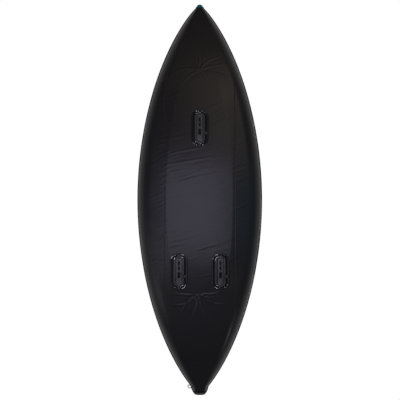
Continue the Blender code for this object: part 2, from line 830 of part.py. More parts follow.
def make_latch(name, x, y, materials):
    """The sliding lock of a fin box: a thumb plate with a ridged grip and a bolt towards the channel."""
    origin = Matrix.Translation((x, y + LATCH_Y, FIN_RISE))
    tip = CHANNEL_CAVITY_HALF + LATCH_CLEARANCE
    outline = [
        (tip, -LATCH_BOLT_HALF),
        (LATCH_PLATE_START, -LATCH_BOLT_HALF),
        (LATCH_PLATE_START, -LATCH_PLATE_HALF),
        (LATCH_PLATE_END, -LATCH_PLATE_HALF),
        (LATCH_PLATE_END, LATCH_PLATE_HALF),
        (LATCH_PLATE_START, LATCH_PLATE_HALF),
        (LATCH_PLATE_START, LATCH_BOLT_HALF),
        (tip, LATCH_BOLT_HALF),
    ]
    heights = (-LATCH_RISE - LATCH_THICK, -LATCH_RISE)
    latch = loft(name, [[(px, py, z) for px, py in outline] for z in heights], materials["latch"], origin)
    middle = (LATCH_PLATE_START + LATCH_PLATE_END) / 2
    low, high = LATCH_RISE + LATCH_THICK - GAP, LATCH_RISE + LATCH_THICK + LATCH_GRIP
    for k in (-1, 0, 1):
        ridge_x = middle + k * LATCH_RIDGE_PITCH
        ridge = fin_prism(
            f"{name}_ridge_{k + 1}",
            (ridge_x - LATCH_RIDGE_HALF, -LATCH_PLATE_HALF + LATCH_GRIP, low),
            (ridge_x + LATCH_RIDGE_HALF, LATCH_PLATE_HALF - LATCH_GRIP, high),
            materials,
            origin,
        )
        combine(latch, [ridge], "UNION")
    return latch


def make_fin_boxes(materials):
    places = (("front", 0, FIN_FRONT_Y), ("left", FIN_REAR_X, FIN_REAR_Y), ("right", -FIN_REAR_X, FIN_REAR_Y))
    for name, x, y in places:
        make_fin_box(f"fin_box_{name}", x, y, materials)
        make_latch(f"fin_latch_{name}", x, y, materials)


def make_valve(name, x, y, seat_z, carriers, materials):
    """An air valve sunk in its chamber: threaded body, sprung pin and turning cap."""
    origin = Matrix.Translation((x, y, seat_z + GAP))
    collar_top = VALVE_COLLAR_RISE
    web_top = collar_top - VALVE_WEB_DEPTH - VALVE_HEAD_THICK - VALVE_TRAVEL
    web_bottom = web_top - VALVE_WEB_THICK
    hole = VALVE_PIN_RADIUS + VALVE_PIN_CLEARANCE
    thread = VALVE_COLLAR_RADIUS + VALVE_PIN_CLEARANCE
    thread_z = [collar_top * share for share in VALVE_THREAD_SHARES]
    chamfer = VALVE_FLANGE_THICK * VALVE_CHAMFER_SHARE
    profile = [
        (VALVE_FLANGE_RADIUS, 0),
        (VALVE_FLANGE_RADIUS, VALVE_FLANGE_THICK - chamfer),
        (VALVE_FLANGE_RADIUS - chamfer, VALVE_FLANGE_THICK),
        (VALVE_COLLAR_RADIUS, VALVE_FLANGE_THICK),
        (VALVE_COLLAR_RADIUS, thread_z[0]),
        (thread, thread_z[1]),
        (thread, thread_z[2]),
        (VALVE_COLLAR_RADIUS, thread_z[3]),
        (VALVE_COLLAR_RADIUS, collar_top),
        (VALVE_BORE_RADIUS, collar_top),
        (VALVE_BORE_RADIUS, web_top),
        (hole, web_top),
        (hole, web_bottom),
        (VALVE_BORE_RADIUS, web_bottom),
        (VALVE_BORE_RADIUS, -VALVE_BARREL_DEPTH),
        (VALVE_BARREL_RADIUS, -VALVE_BARREL_DEPTH),
        (VALVE_BARREL_RADIUS, 0),
    ]
    revolve(f"{name}_valve_body", profile, materials["valve"], origin)
    pin_low = web_bottom - VALVE_WEB_THICK
    head_low = web_top + VALVE_TRAVEL + VALVE_PIN_CLEARANCE
    rings = [
        (VALVE_PIN_RADIUS, pin_low),
        (VALVE_PIN_RADIUS, head_low),
        (VALVE_HEAD_RADIUS, head_low + VALVE_PIN_CLEARANCE),
        (VALVE_HEAD_RADIUS, head_low + VALVE_HEAD_THICK),
    ]
    turned(f"{name}_valve_pin", rings, materials["pin"], origin, PIN_SIDES)
    cap_low = collar_top + GAP
    grip_top = cap_low + CAP_THICK + CAP_GRIP_RISE
    cap_rings = [
        (CAP_RADIUS - CAP_BEVEL, cap_low),
        (CAP_RADIUS, cap_low + CAP_BEVEL),
        (CAP_RADIUS, cap_low + CAP_THICK - CAP_BEVEL),
        (CAP_RADIUS - CAP_BEVEL, cap_low + CAP_THICK),
    ]
    cap = turned(f"{name}_valve_cap", cap_rings, materials["valve"], origin)
    grip_half = CAP_RADIUS - 2 * CAP_BEVEL
    grip = box(
        f"{name}_cap_grip",
        (-grip_half, -CAP_GRIP_HALF_WIDTH, cap_low + CAP_THICK / 2),
        (grip_half, CAP_GRIP_HALF_WIDTH, grip_top),
        materials["valve"],
        origin,
    )
    combine(cap, [grip], "UNION")
    pocket_radius = VALVE_BARREL_RADIUS + GAP
    for k, carrier in enumerate(carriers):
        pocket = turned(
            f"{name}_pocket_{k}",
            [(pocket_radius, -VALVE_BARREL_DEPTH - GAP), (pocket_radius, CUT_OVERRUN)],
            materials["valve"],
            origin,
        )
        combine(bpy.data.objects[carrier], [pocket], "DIFFERENCE")


def make_valves(materials):
    ends = (VALVE_TUBE_Y - VALVE_FLANGE_RADIUS, VALVE_TUBE_Y + VALVE_FLANGE_RADIUS)
    seat_z = max(top_z(y) for y in ends)
    tube_x = section(VALVE_TUBE_Y)[4]
    for name, side in (("left", 1), ("right", -1)):
        carriers = (f"{name}_tube_cover", f"{name}_tube_chamber")
        make_valve(name, side * tube_x, VALVE_TUBE_Y, seat_z, carriers, materials)
    floor_x = section(VALVE_FLOOR_Y)[7] * VALVE_FLOOR_SHARE
    make_valve("floor", floor_x, VALVE_FLOOR_Y, slab_top(VALVE_FLOOR_Y), ("floor_chamber",), materials)


def groove_depth(place, channels):
    """The share of a cushion's swell that is drawn in at a place by its sewn channels."""
    near = min(abs(place - channel) for channel in channels)
    return math.exp(-((near / SEAT_CHANNEL_WIDTH) ** 2))


def pad(name, half_x, length, heights_at, grid_size, rounding, bulge, material, matrix, place):
    """A closed cushion from two skins over a grid and a bulging rim; place() sets each point in space."""
    columns, rows = grid_size
    round_x, round_y = rounding
    bm = bmesh.new()
    skins = {1: [], 0: [], -1: []}
    for face, grid in skins.items():
        for j in range(rows + 1):
            v = 2 * j / rows - 1
            line = []
            for i in range(columns + 1):
                u = 2 * i / columns - 1
                x = half_x * u * math.sqrt(1 - round_x * v * v)
                along = length / 2 * (1 + v * math.sqrt(1 - round_y * u * u))
                if face:
                    line.append(bm.verts.new(place(x, along, heights_at(u, v, face, x, along))))
                elif max(abs(u), abs(v)) == 1:
                    middle = (heights_at(u, v, 1, x, along) + heights_at(u, v, -1, x, along)) / 2
                    out_x, out_along = bulge * u * abs(u) ** 3, bulge * v * abs(v) ** 3
                    line.append(bm.verts.new(place(x + out_x, along + out_along, middle)))
                else:
                    line.append(None)
            grid.append(line)
    for face in (1, -1):
        grid = skins[face]
        for j in range(rows):
            for i in range(columns):
                quad = (grid[j][i], grid[j][i + 1], grid[j + 1][i + 1], grid[j + 1][i])
                bm.faces.new(quad[::face])
    rims = []
    for grid in (skins[1], skins[0], skins[-1]):
        rim = grid[0][:-1] + [line[-1] for line in grid[:-1]]
        rim += grid[-1][:0:-1] + [line[0] for line in grid[:0:-1]]
        rims.append(rim)
    for first, second in zip(rims, rims[1:]):
        for i in range(len(first)):
            j = (i + 1) % len(first)
            bm.faces.new((first[j], first[i], second[i], second[j]))
    return make_object(name, bm, material, matrix)


def swell(u, v, power):
    return (1 - abs(u) ** power) * (1 - abs(v) ** power)


def make_seat_base(name, hinge_y, materials):
    """A flat-bottomed pad with cross channels and a rolled hinge bead along its rear edge."""
    bead_y = hinge_y - SEAT_BEAD_OFFSET
    rear_y = bead_y - SEAT_BEAD_RADIUS + SEAT_BEAD_SINK
    origin = Matrix.Translation((0, rear_y - SEAT_BASE_LENGTH, slab_top(0) + GAP))
    channels = [SEAT_BASE_LENGTH * share for share in SEAT_CHANNEL_SHARES]

    def heights_at(u, v, face, x, along):
        if face < 0:
            return 0
        crown = swell(u, v, 5)
        drawn = SEAT_CHANNEL_DEPTH * groove_depth(along, channels) * crown
        return SEAT_BASE_THICK * (SEAT_RIM_SHARE + (1 - SEAT_RIM_SHARE) * crown) - drawn

    shape = (SEAT_GRID, SEAT_ROUNDING_SHARES, SEAT_RIM_BULGE)
    width, length = SEAT_BASE_HALF_WIDTH, SEAT_BASE_LENGTH
    base = pad(name, width, length, heights_at, *shape, materials["seat"], origin, lambda *p: Vector(p))
    bead_z = slab_top(0) + GAP + SEAT_BASE_THICK - SEAT_BEAD_DROP - SEAT_BEAD_RADIUS
    half = SEAT_BASE_HALF_WIDTH * SEAT_BEAD_SHARE
    turn = Matrix.Translation((0, bead_y, bead_z)) @ Matrix.Rotation(math.radians(90), 4, "Y")
    rings = [(SEAT_BEAD_RADIUS, -half), (SEAT_BEAD_RADIUS, half)]
    bead = turned(f"{name}_bead", rings, materials["seat"], turn, PIN_SIDES)
    return combine(base, [bead], "UNION")


def hinge_height():
    """The backrest's foot rolls on the bead of the seat base."""
    bead_z = slab_top(0) + GAP + SEAT_BASE_THICK - SEAT_BEAD_DROP - SEAT_BEAD_RADIUS
    return bead_z + SEAT_BEAD_RADIUS + BACK_FOOT_RADIUS + GAP


def back_half_thickness(u, v, x, along):
    rise = smooth_step((v + 1) * 1.6)
    crown = swell(u, max(v, 0), 4)
    full = BACK_FOOT_RADIUS + (BACK_THICK / 2 - BACK_FOOT_RADIUS) * rise * crown
    channels = [BACK_HALF_WIDTH * share for share in BACK_CHANNEL_SHARES]
    drawn = BACK_CHANNEL_DEPTH * groove_depth(x, channels) * crown * rise
    return full - drawn


def back_bend(x, along):
    """How far the backrest's middle surface wraps forward at its sides."""
    share = x / BACK_HALF_WIDTH
    return -BACK_WRAP * share * share * smooth_step(along / BACK_HEIGHT * 2)


def back_matrix(hinge_y):
    lean = Matrix.Rotation(math.radians(-BACK_LEAN_DEG), 4, "X")
    return Matrix.Translation((0, hinge_y, hinge_height())) @ lean


def make_seat_back(name, hinge_y, materials):
    """A wrapped backrest that narrows to a rolled foot on its hinge line."""

    def heights_at(u, v, face, x, along):
        return face * back_half_thickness(u, v, x, along)

    def place(x, along, height):
        taper = BACK_FOOT_SHARE + (1 - BACK_FOOT_SHARE) * smooth_step(along / BACK_HEIGHT * 1.5)
        return Vector((x * taper, back_bend(x, along) + height, along))

    shape = (BACK_GRID, BACK_ROUNDING_SHARES, BACK_FOOT_RADIUS)
    matrix = back_matrix(hinge_y)
    return pad(name, BACK_HALF_WIDTH, BACK_HEIGHT, heights_at, *shape, materials["seat"], matrix, place)


def band_point(x, out):
    """A point on the line of the webbing band behind a backrest, in the backrest's own space."""
    share = min(1, abs(x) / BACK_HALF_WIDTH)
    crown = BACK_FOOT_RADIUS + (BACK_THICK / 2 - BACK_FOOT_RADIUS) * (1 - share**4)
    y = -BACK_WRAP * share * share + crown + LOOP_CLEARANCE + out
    return y


def make_back_band(name, hinge_y, materials):
    """The webbing across the rear of a backrest, which the side straps pull on."""
    reach = BACK_HALF_WIDTH + BACK_BAND_OVERHANG
    sections = []
    for k in range(-BAND_STEPS, BAND_STEPS + 1):
        x = reach * k / BAND_STEPS
        ring = []
        for out, rise in ((0, -1), (0, 1), (1, 1), (1, -1)):
            y = band_point(x, out * BACK_BAND_THICK)
            ring.append((x, y, BACK_BAND_HEIGHT + rise * BACK_BAND_HALF))
        sections.append(ring)
    return loft(name, sections, materials["webbing"], back_matrix(hinge_y))


def strap_ends(side, hinge_y):
    """The strap's two ends: at the anchor's ring and at the end of the back band."""
    reach = BACK_HALF_WIDTH + BACK_BAND_OVERHANG
    band_end = side * (reach + STRAP_THICK / 2 + GAP)
    local = Vector((band_end, band_point(reach, BACK_BAND_THICK / 2), BACK_BAND_HEIGHT))
    upper = back_matrix(hinge_y) @ local
    anchor_y = hinge_y - STRAP_REACH
    values = section(anchor_y)
    lower = Vector((side * values[4], anchor_y, top_z(anchor_y) + PATCH_THICK + ANCHOR_POST_RISE))
    return lower, upper


def strap_frame(start, end):
    """Axes along, across and out of a strap: the webbing's flat faces look sideways."""
    along = (end - start).normalized()
    out = along.cross(Vector((0, 0, 1))).normalized()
    return along, out.cross(along), out


def make_strap(prefix, side, hinge_y, materials):
    """One side strap with its ladder buckle and the anchor on the tube that holds it."""
    lower, upper = strap_ends(side, hinge_y)
    along, across, out = strap_frame(lower, upper)
    length = (upper - lower).length
    start = ANCHOR_POST_HALF + LOOP_CLEARANCE
    sections = []
    for k in range(STRAP_STEPS + 1):
        share = k / STRAP_STEPS
        sag = Vector((0, 0, -STRAP_SAG)) * 4 * share * (1 - share)
        middle = lower + along * (start + (length - start) * share) + sag
        ring = []
        for a, b in ((-1, -1), (1, -1), (1, 1), (-1, 1)):
            ring.append(middle + across * a * STRAP_HALF_WIDTH + out * b * STRAP_THICK / 2)
        sections.append(ring)
    loft(f"{prefix}_strap", sections, materials["webbing"])
    make_buckle(f"{prefix}_buckle", lower, upper, start, materials)
    make_anchor(f"{prefix}_anchor", side, hinge_y - STRAP_REACH, lower, materials)


def make_buckle(name, lower, upper, start, materials):
    """A ladder buckle: a frame round the strap with two windows in its face."""
    along, across, out = strap_frame(lower, upper)
    length = (upper - lower).length
    sag = Vector((0, 0, -STRAP_SAG)) * 4 * BUCKLE_SHARE * (1 - BUCKLE_SHARE)
    middle = lower + along * (start + (length - start) * BUCKLE_SHARE) + sag
    matrix = Matrix.Translation(middle) @ Matrix((along, across, out)).transposed().to_4x4()
    half_thick = BUCKLE_THICK / 2
    heights = (-half_thick, half_thick)
    body = plate(
        name,
        BUCKLE_HALF_LENGTH,
        BUCKLE_HALF_WIDTH,
        BUCKLE_WINDOW / 2,
        heights,
        materials["valve"],
        matrix,
        steps=COARSE_STEPS,
    )
    slot_half = STRAP_THICK / 2 + BUCKLE_CLEARANCE
    slot_wide = STRAP_HALF_WIDTH + BUCKLE_CLEARANCE
    reach = BUCKLE_HALF_LENGTH + CUT_OVERRUN
    slot_low, slot_high = (-reach, -slot_wide, -slot_half), (reach, slot_wide, slot_half)
    slot = box(f"{name}_slot", slot_low, slot_high, materials["valve"], matrix)
    combine(body, [slot], "DIFFERENCE")
    for k in (-1, 1):
        centre = k * BUCKLE_HALF_LENGTH / 2
        window = box(
            f"{name}_window_{k + 1}",
            (centre - BUCKLE_WINDOW / 2, -slot_wide, 0),
            (centre + BUCKLE_WINDOW / 2, slot_wide, half_thick + CUT_OVERRUN),
            materials["valve"],
            matrix,
        )
        combine(body, [window], "DIFFERENCE")
    return body


def crown_patch(name, side, y, half_length, material):
    """A welded patch that follows the crown of a tube."""
    rows = rows_between(y - half_length, y + half_length)
    angles = [90 - ANCHOR_ANGLE, 90, 90 + ANCHOR_ANGLE]
    sections = []
    for row in rows:
        values = section(row)
        ring = [tube_point(values, angle, GAP) for angle in angles]
        ring += [tube_point(values, angle, GAP + PATCH_THICK) for angle in angles[::-1]]
        sections.append([(side * x, row, z) for x, z in ring])
    return loft(name, sections, material)


def make_anchor(name, side, y, lower, materials):
    """A crown patch with a sewn post of webbing that carries the strap's end."""
    patch = crown_patch(name, side, y, ANCHOR_HALF_LENGTH, materials["patch"])
    base_z = top_z(y) + GAP
    half = ANCHOR_POST_HALF
    rings = []
    post_top = lower.z + STRAP_HALF_WIDTH
    foot_z = base_z + PATCH_THICK / 2
    for rise, size in POST_SHARES:
        z = foot_z + (post_top - foot_z) * rise
        thin, wide = half * POST_THIN_SHARE * size, half * size
        rings.append([(lower.x + thin * a, y + wide * b, z) for a, b in ((-1, -1), (1, -1), (1, 1), (-1, 1))])
    post = loft(f"{name}_post", rings, materials["webbing"])
    return combine(patch, [post], "UNION")


def make_seats(materials):
    for name, hinge_y in (("front", SEAT_FRONT_HINGE_Y), ("rear", SEAT_REAR_HINGE_Y)):
        make_seat_base(f"{name}_seat_base", hinge_y, materials)
        make_seat_back(f"{name}_seat_back", hinge_y, materials)
        make_back_band(f"{name}_back_band", hinge_y, materials)
        for side_name, side in (("left", 1), ("right", -1)):
            make_strap(f"{name}_{side_name}", side, hinge_y, materials)


def make_footrests(materials):
    for name, y, half in (
        ("front_footrest", FOOTREST_FRONT_Y, FOOTREST_FRONT_HALF),
        ("rear_footrest", FOOTREST_REAR_Y, FOOTREST_REAR_HALF),
    ):
        seat_z = slab_top(y) + GAP
        centre = Matrix.Translation((0, y, seat_z + FOOTREST_RADIUS))
        turn = centre @ Matrix.Rotation(math.radians(90), 4, "Y")
        rings = []
        for sign in (-1, 1):
            ends = []
            for share in FOOTREST_END_SHARES:
                radius = FOOTREST_RADIUS * math.sqrt(1 - FOOTREST_ROUND_SHARE * (1 - share) ** 2)
                ends.append((radius, sign * (half - FOOTREST_END * share)))
            rings += ends[::sign * -1] if sign > 0 else ends
        rings.insert(len(FOOTREST_END_SHARES), (FOOTREST_RADIUS * FOOTREST_WAIST_SHARE, 0))
        turned(name, rings, materials["seat"], turn, FOOTREST_SIDES)


def loop_points(bar_half, depth, corner, steps=4):
    """A rounded rectangle in plan whose near bar runs along X through the origin."""
    half_y = depth / 2
    return [(x, y + half_y, 0) for x, y in rounded_outline(bar_half, half_y, corner, steps)]


def make_loop(prefix, sign, share, sizes, materials, key):
    """A loop on a deck that swings about its near bar inside a webbing sleeve."""
    bar_half, depth, rod, corner, sleeve_half = sizes
    y = sign * share * HALF_LENGTH
    bore = rod + LOOP_CLEARANCE
    outer = bore + SLEEVE_WALL
    reach = outer + PATCH_MARGIN
    base = deck_z(y) + GAP
    slope = (deck_z(y + reach) - deck_z(y - reach)) / (2 * reach)
    tilt = Matrix.Rotation(math.atan(slope), 4, "X")
    rows = rows_between(y - reach, y + reach)
    half_x = sleeve_half + PATCH_MARGIN
    sections = []
    for row in rows:
        low = deck_z(row) + GAP
        high = low + PATCH_THICK
        sections.append([(-half_x, row, low), (half_x, row, low), (half_x, row, high), (-half_x, row, high)])
    patch = loft(f"{prefix}_patch", sections, materials["patch"])
    axis_z = base + PATCH_THICK + bore + LOOP_CLEARANCE
    centre = Matrix.Translation((0, y, axis_z)) @ tilt
    arch = []
    for x in (-sleeve_half, sleeve_half):
        ring = [(x, -outer, -bore - PATCH_THICK), (x, outer, -bore - PATCH_THICK)]
        for k in range(9):
            angle = math.pi * k / 8
            ring.append((x, outer * math.cos(angle), outer * math.sin(angle)))
        arch.append(ring)
    sleeve = loft(f"{prefix}_sleeve", arch, materials["patch"], centre)
    combine(patch, [sleeve], "UNION")
    turn = centre @ Matrix.Rotation(math.radians(90), 4, "Y")
    half = sleeve_half + CUT_OVERRUN
    hole = turned(f"{prefix}_hole", [(bore, -half), (bore, half)], materials["patch"], turn)
    combine(patch, [hole], "DIFFERENCE")
    facing = Matrix.Identity(4) if sign > 0 else Matrix.Rotation(math.pi, 4, "Z")
    points = loop_points(bar_half, depth, corner)
    tube(f"{prefix}_loop", points, rod, materials[key], centre @ facing, cyclic=True, resolution=1)


def make_loops(materials):
    handle = (HANDLE_BAR_HALF, HANDLE_DEPTH, HANDLE_ROD, HANDLE_CORNER, HANDLE_SLEEVE_HALF)
    ring = (RING_BAR_HALF, RING_DEPTH, RING_ROD, RING_CORNER, RING_SLEEVE_HALF)
    for name, sign in (("bow", -1), ("stern", 1)):
        make_loop(f"{name}_handle", sign, HANDLE_SHARE, handle, materials, "grip")
        make_loop(f"{name}_ring", sign, RING_SHARE, ring, materials, "steel")


def main():
    clear_scene()
    materials = {
        "bottom": make_material("satin_black_skin", (0.022, 0.022, 0.026), 0.38),
        "top": make_material("teal_cover", (0.012, 0.23, 0.3), 0.5),
        "deck": make_material("grey_deck_cloth", (0.06, 0.065, 0.07), 0.7),
        "bladder": make_material("grey_chamber", (0.3, 0.31, 0.33), 0.45),
        "trim": make_material("black_piping", (0.02, 0.02, 0.022), 0.5),
        "fin": make_material("gloss_black_moulding", (0.015, 0.015, 0.018), 0.18),
        "latch": make_material("black_latch", (0.03, 0.03, 0.034), 0.3),
        "valve": make_material("black_nylon", (0.03, 0.03, 0.032), 0.42),
        "pin": make_material("white_nylon", (0.7, 0.7, 0.68), 0.4),
        "seat": make_material("charcoal_seat_cloth", (0.07, 0.075, 0.08), 0.85),
        "webbing": make_material("black_webbing", (0.018, 0.018, 0.02), 0.8),
        "patch": make_material("black_patch", (0.03, 0.032, 0.035), 0.55),
        "grip": make_material("rubber_grip", (0.025, 0.025, 0.027), 0.6),
        "steel": make_material("polished_steel", (0.62, 0.63, 0.65), 0.22, 1.0),
    }
    make_hull(materials)
    make_decks(materials)
    make_tips(materials)
    make_side_loop(materials)
    make_fin_boxes(materials)
    make_valves(materials)
    make_seats(materials)
    make_footrests(materials)
    make_loops(materials)


main()
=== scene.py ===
import json
import math
from contextlib import contextmanager
from functools import cache

import bmesh
import bpy
import numpy as np
from mathutils import Matrix, Vector


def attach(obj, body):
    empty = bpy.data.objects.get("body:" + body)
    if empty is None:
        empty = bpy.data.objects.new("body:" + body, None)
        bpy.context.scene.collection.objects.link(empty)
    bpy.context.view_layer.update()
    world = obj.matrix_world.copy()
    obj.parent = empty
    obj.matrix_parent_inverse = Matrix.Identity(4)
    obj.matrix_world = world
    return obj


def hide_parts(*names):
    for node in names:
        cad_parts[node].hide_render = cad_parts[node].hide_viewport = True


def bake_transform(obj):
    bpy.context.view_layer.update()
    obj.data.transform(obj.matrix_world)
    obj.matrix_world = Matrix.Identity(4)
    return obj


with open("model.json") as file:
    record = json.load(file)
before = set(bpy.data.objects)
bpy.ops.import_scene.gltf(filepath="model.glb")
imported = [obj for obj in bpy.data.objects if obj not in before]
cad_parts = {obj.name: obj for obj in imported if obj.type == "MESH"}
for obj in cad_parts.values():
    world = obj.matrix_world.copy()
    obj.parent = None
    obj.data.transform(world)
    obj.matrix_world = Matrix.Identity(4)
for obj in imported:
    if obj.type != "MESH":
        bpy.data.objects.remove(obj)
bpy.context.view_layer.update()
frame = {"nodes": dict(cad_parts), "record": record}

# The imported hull's own sizes, in metres
LENGTH = 3.26
BEAM = 1.034
FULLNESS = 0.8
GAP = 0.0003
SKIN = 0.0015
TUBE_RADIUS = 0.13
TUBE_TAPER_SHARE = 0.5
TIP_DROP_SHARE = 0.5
TUBE_LIFT = 0.02
LIFT_FADE = 0.35
FLAT_HALF = 0.74
ROCKER = 0.2
ROCKER_POWER = 2.2
BLEND = 0.02
PIPING_RADIUS = 0.004
FLOOR_HALF = 0.272
FLOOR_THICK = 0.1
FLOOR_BOW = 1.05
FLOOR_STERN = 0.77
FLOOR_CLEARANCE = 0.004
FLOOR_CORNER = 0.012
FLOOR_SHOULDER = 0.045
FLOOR_END = 0.12
SEAM_HALF = 0.29
SEAM_SHARE = 0.8
CREASE_SHARE = 0.3
DECK_BOW_EDGE = 0.8
DECK_STERN_EDGE = 0.84
CUT_HALF = 0.25
CUT_DEPTH = 0.22
DECK_ANGLE = 45
FIN_RISE = 0.014
FIN_HALF_WIDTH = 0.071
FIN_HALF_LENGTH = 0.1465
TIP_SHARE = 0.985
STERN_FLARE = 0.025
STERN_FLARE_SHARE = 0.95
SEAT_LENGTH = 0.33
SEAT_HALF = 0.18
SEAT_SETBACK = 0.0065
BACK_HEIGHT = 0.37
BACK_FOOT = 0.01
BACK_WRAP = 0.03
BACK_LEAN_DEG = 12
HINGE_Z = 0.1527
BAND_Z = 0.26
BAND_HALF = 0.019
STRAP_HALF = 0.0125
STRAP_REACH = 0.4
STRAP_SAG = 0.006
BOLSTER_RADIUS = 0.055
STRAP_END_X = 0.1873
STRAP_END_Y = -0.0185
ANCHOR_RISE = 0.014
COAMING_RADIUS = 0.005
DECK_SAG = 0.002
BLADDER_GAP = 0.0045
BLADDER_SHARE = 0.95
BILGE_GIRTH = 0.3
VALVE_HOLE = 0.0188
THREAD_RADIUS = 0.0006
PATCH_LIFT = 0.0022
LOOP_PLAY = 0.0005
STAGE_HALF = 30
HALF_LENGTH = LENGTH / 2
TIP_Y = TIP_SHARE * HALF_LENGTH
PIPING_ROOM = GAP + 2 * PIPING_RADIUS
SLAB_LIFT = SKIN + GAP

# Thicknesses of what the eye sees: cloth, decks, patches and half a webbing's
CLOTH = 0.001
DECK_CLOTH = 0.0012
PATCH = 0.0018
WEB = 0.001

# The photograph's frame: metres a pixel on the plane of the widest line
PIXEL = 0.008316
CENTRE_PX = (199.75, 199.8)
FRAME_PX = 400
OUTLINE_Z = 0.2
LENS = 120
SENSOR = 36

SIDES = (("left", 1), ("right", -1))
FIN_PLACES = {"front": (0, -0.587), "left": (0.17, 0.586), "right": (-0.17, 0.586)}
SEATS = {"front": -0.06, "rear": 0.72}
VALVES = {"left": (0.32386, 0.64, 0.28254), "right": (-0.32386, 0.64, 0.28254), "floor": (0.12704, -0.48, 0.1164)}
PAD_FRAMES = 20
ROW_STEP = 0.014
COVER_STEP = 0.01
FINE_STEP = 0.005

SLOTS = {part["node"]: part["material_slot"] for part in frame["record"]["subparts"]}
MATERIALS = {}


def smooth_step(value):
    value = min(1, max(0, value))
    return value * value * (3 - 2 * value)


def soft_min(a, b):
    return (a + b - math.hypot(a - b, BLEND)) / 2


def slab_inset(height):
    """How far the floor's side lies inside its full width at a height above its base."""
    if height < FLOOR_CORNER:
        drop, radius = FLOOR_CORNER - height, FLOOR_CORNER
    elif height > FLOOR_THICK - FLOOR_SHOULDER:
        drop, radius = height - (FLOOR_THICK - FLOOR_SHOULDER), FLOOR_SHOULDER
    else:
        return 0
    return radius - math.sqrt(max(0, radius * radius - drop * drop))


@cache
def section(y):
    """The hull at a station: outer edge, tube ellipse, floor height, seam and floor half width."""
    share = min(1, abs(y) / HALF_LENGTH)
    outer = BEAM / 2 * (1 - share * share) ** FULLNESS - PIPING_ROOM
    if y > 0:
        outer += STERN_FLARE * smooth_step((share - STERN_FLARE_SHARE) / (TIP_SHARE - STERN_FLARE_SHARE))
    width = soft_min(TUBE_RADIUS * (1 - TUBE_TAPER_SHARE * share * share), outer / 2 - GAP)
    height = TUBE_RADIUS * (1 - TIP_DROP_SHARE * share**5)
    run = max(0, abs(y) - FLAT_HALF) / (HALF_LENGTH - FLAT_HALF)
    floor_z = FIN_RISE + GAP + ROCKER * run**ROCKER_POWER
    lift = TUBE_LIFT * smooth_step(min(y + FLOOR_BOW, FLOOR_STERN - y) / LIFT_FADE)
    centre_x = outer - width
    centre_z = floor_z + lift + height
    seam = soft_min(SEAM_HALF, SEAM_SHARE * outer)
    room = FLOOR_HALF
    for level in range(9):
        z = FLOOR_THICK * level / 8
        reach = (floor_z + SLAB_LIFT + z - centre_z) / height
        inner = centre_x - width * math.sqrt(max(0, 1 - reach * reach))
        room = min(room, inner + slab_inset(z) - FLOOR_CLEARANCE)
    return outer, width, height, floor_z, centre_x, centre_z, seam, max(room, CREASE_SHARE * seam)


def tube_point(values, degrees, offset=0.0):
    _, width, height, _, centre_x, centre_z, _, _ = values
    angle = math.radians(degrees)
    return centre_x + (width + offset) * math.cos(angle), centre_z + (height + offset) * math.sin(angle)


def top_z(y):
    return section(y)[5] + section(y)[2]


def slab_top(y):
    return section(y)[3] + SLAB_LIFT + FLOOR_THICK


def resample(points, count):
    """The same polyline with evenly spaced points."""
    points = np.array(points, float)
    steps = np.linalg.norm(np.diff(points, axis=0), axis=1)
    along = np.concatenate([[0], np.cumsum(steps)])
    places = np.linspace(0, along[-1], count)
    return np.stack([np.interp(places, along, points[:, k]) for k in range(points.shape[1])], axis=1)


def split_profile(y):
    """The taut skin's half section from keel to widest line, as (x, z) points in two parts parted at the seam."""
    values = section(y)
    _, width, height, floor_z, centre_x, centre_z, seam, floor_half = values
    u, v = (floor_half - centre_x) / width, (floor_z - centre_z) / height
    start = math.degrees(math.atan2(v, u) + math.acos(1 / max(1, math.hypot(u, v))))
    arc = [tube_point(values, start * (1 - k / 40)) for k in range(41)]
    profile = np.array([(0, floor_z), (floor_half, floor_z)] + arc)
    cut_point = [[seam, np.interp(seam, profile[:, 0], profile[:, 1])]]
    inner = profile[profile[:, 0] < seam]
    outer = profile[profile[:, 0] > seam]
    return np.vstack([inner, cut_point]), np.vstack([cut_point, outer])


def hull_rows(step, start=-TIP_Y, end=TIP_Y):
    return np.linspace(start, end, int(round((end - start) / step)) + 1)


# ---------------------------------------------------------------- mesh helpers


def grid_of(rows, columns, place):
    """The points that place gives, row by row."""
    return [[place(row, column) for column in columns] for row in rows]


def new_object(name, data, matrix=None):
    obj = bpy.data.objects.new(name, data)
    if matrix:
        obj.matrix_world = matrix
    bpy.context.scene.collection.objects.link(obj)
    return obj


@contextmanager
def editing(mesh):
    bm = bmesh.new()
    bm.from_mesh(mesh)
    yield bm
    bm.to_mesh(mesh)
    bm.free()


def finish(piece, body, slot, *nodes):
    """Rides a body, if one is named, and stands for CAD nodes; the slot is not used."""
    if body:
        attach(piece, body)
    if nodes:
        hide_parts(*nodes)


def thicken(obj, thickness, offset=-1):
    solid = obj.modifiers.new("Thickness", "SOLIDIFY")
    solid.thickness = thickness
    solid.offset = offset


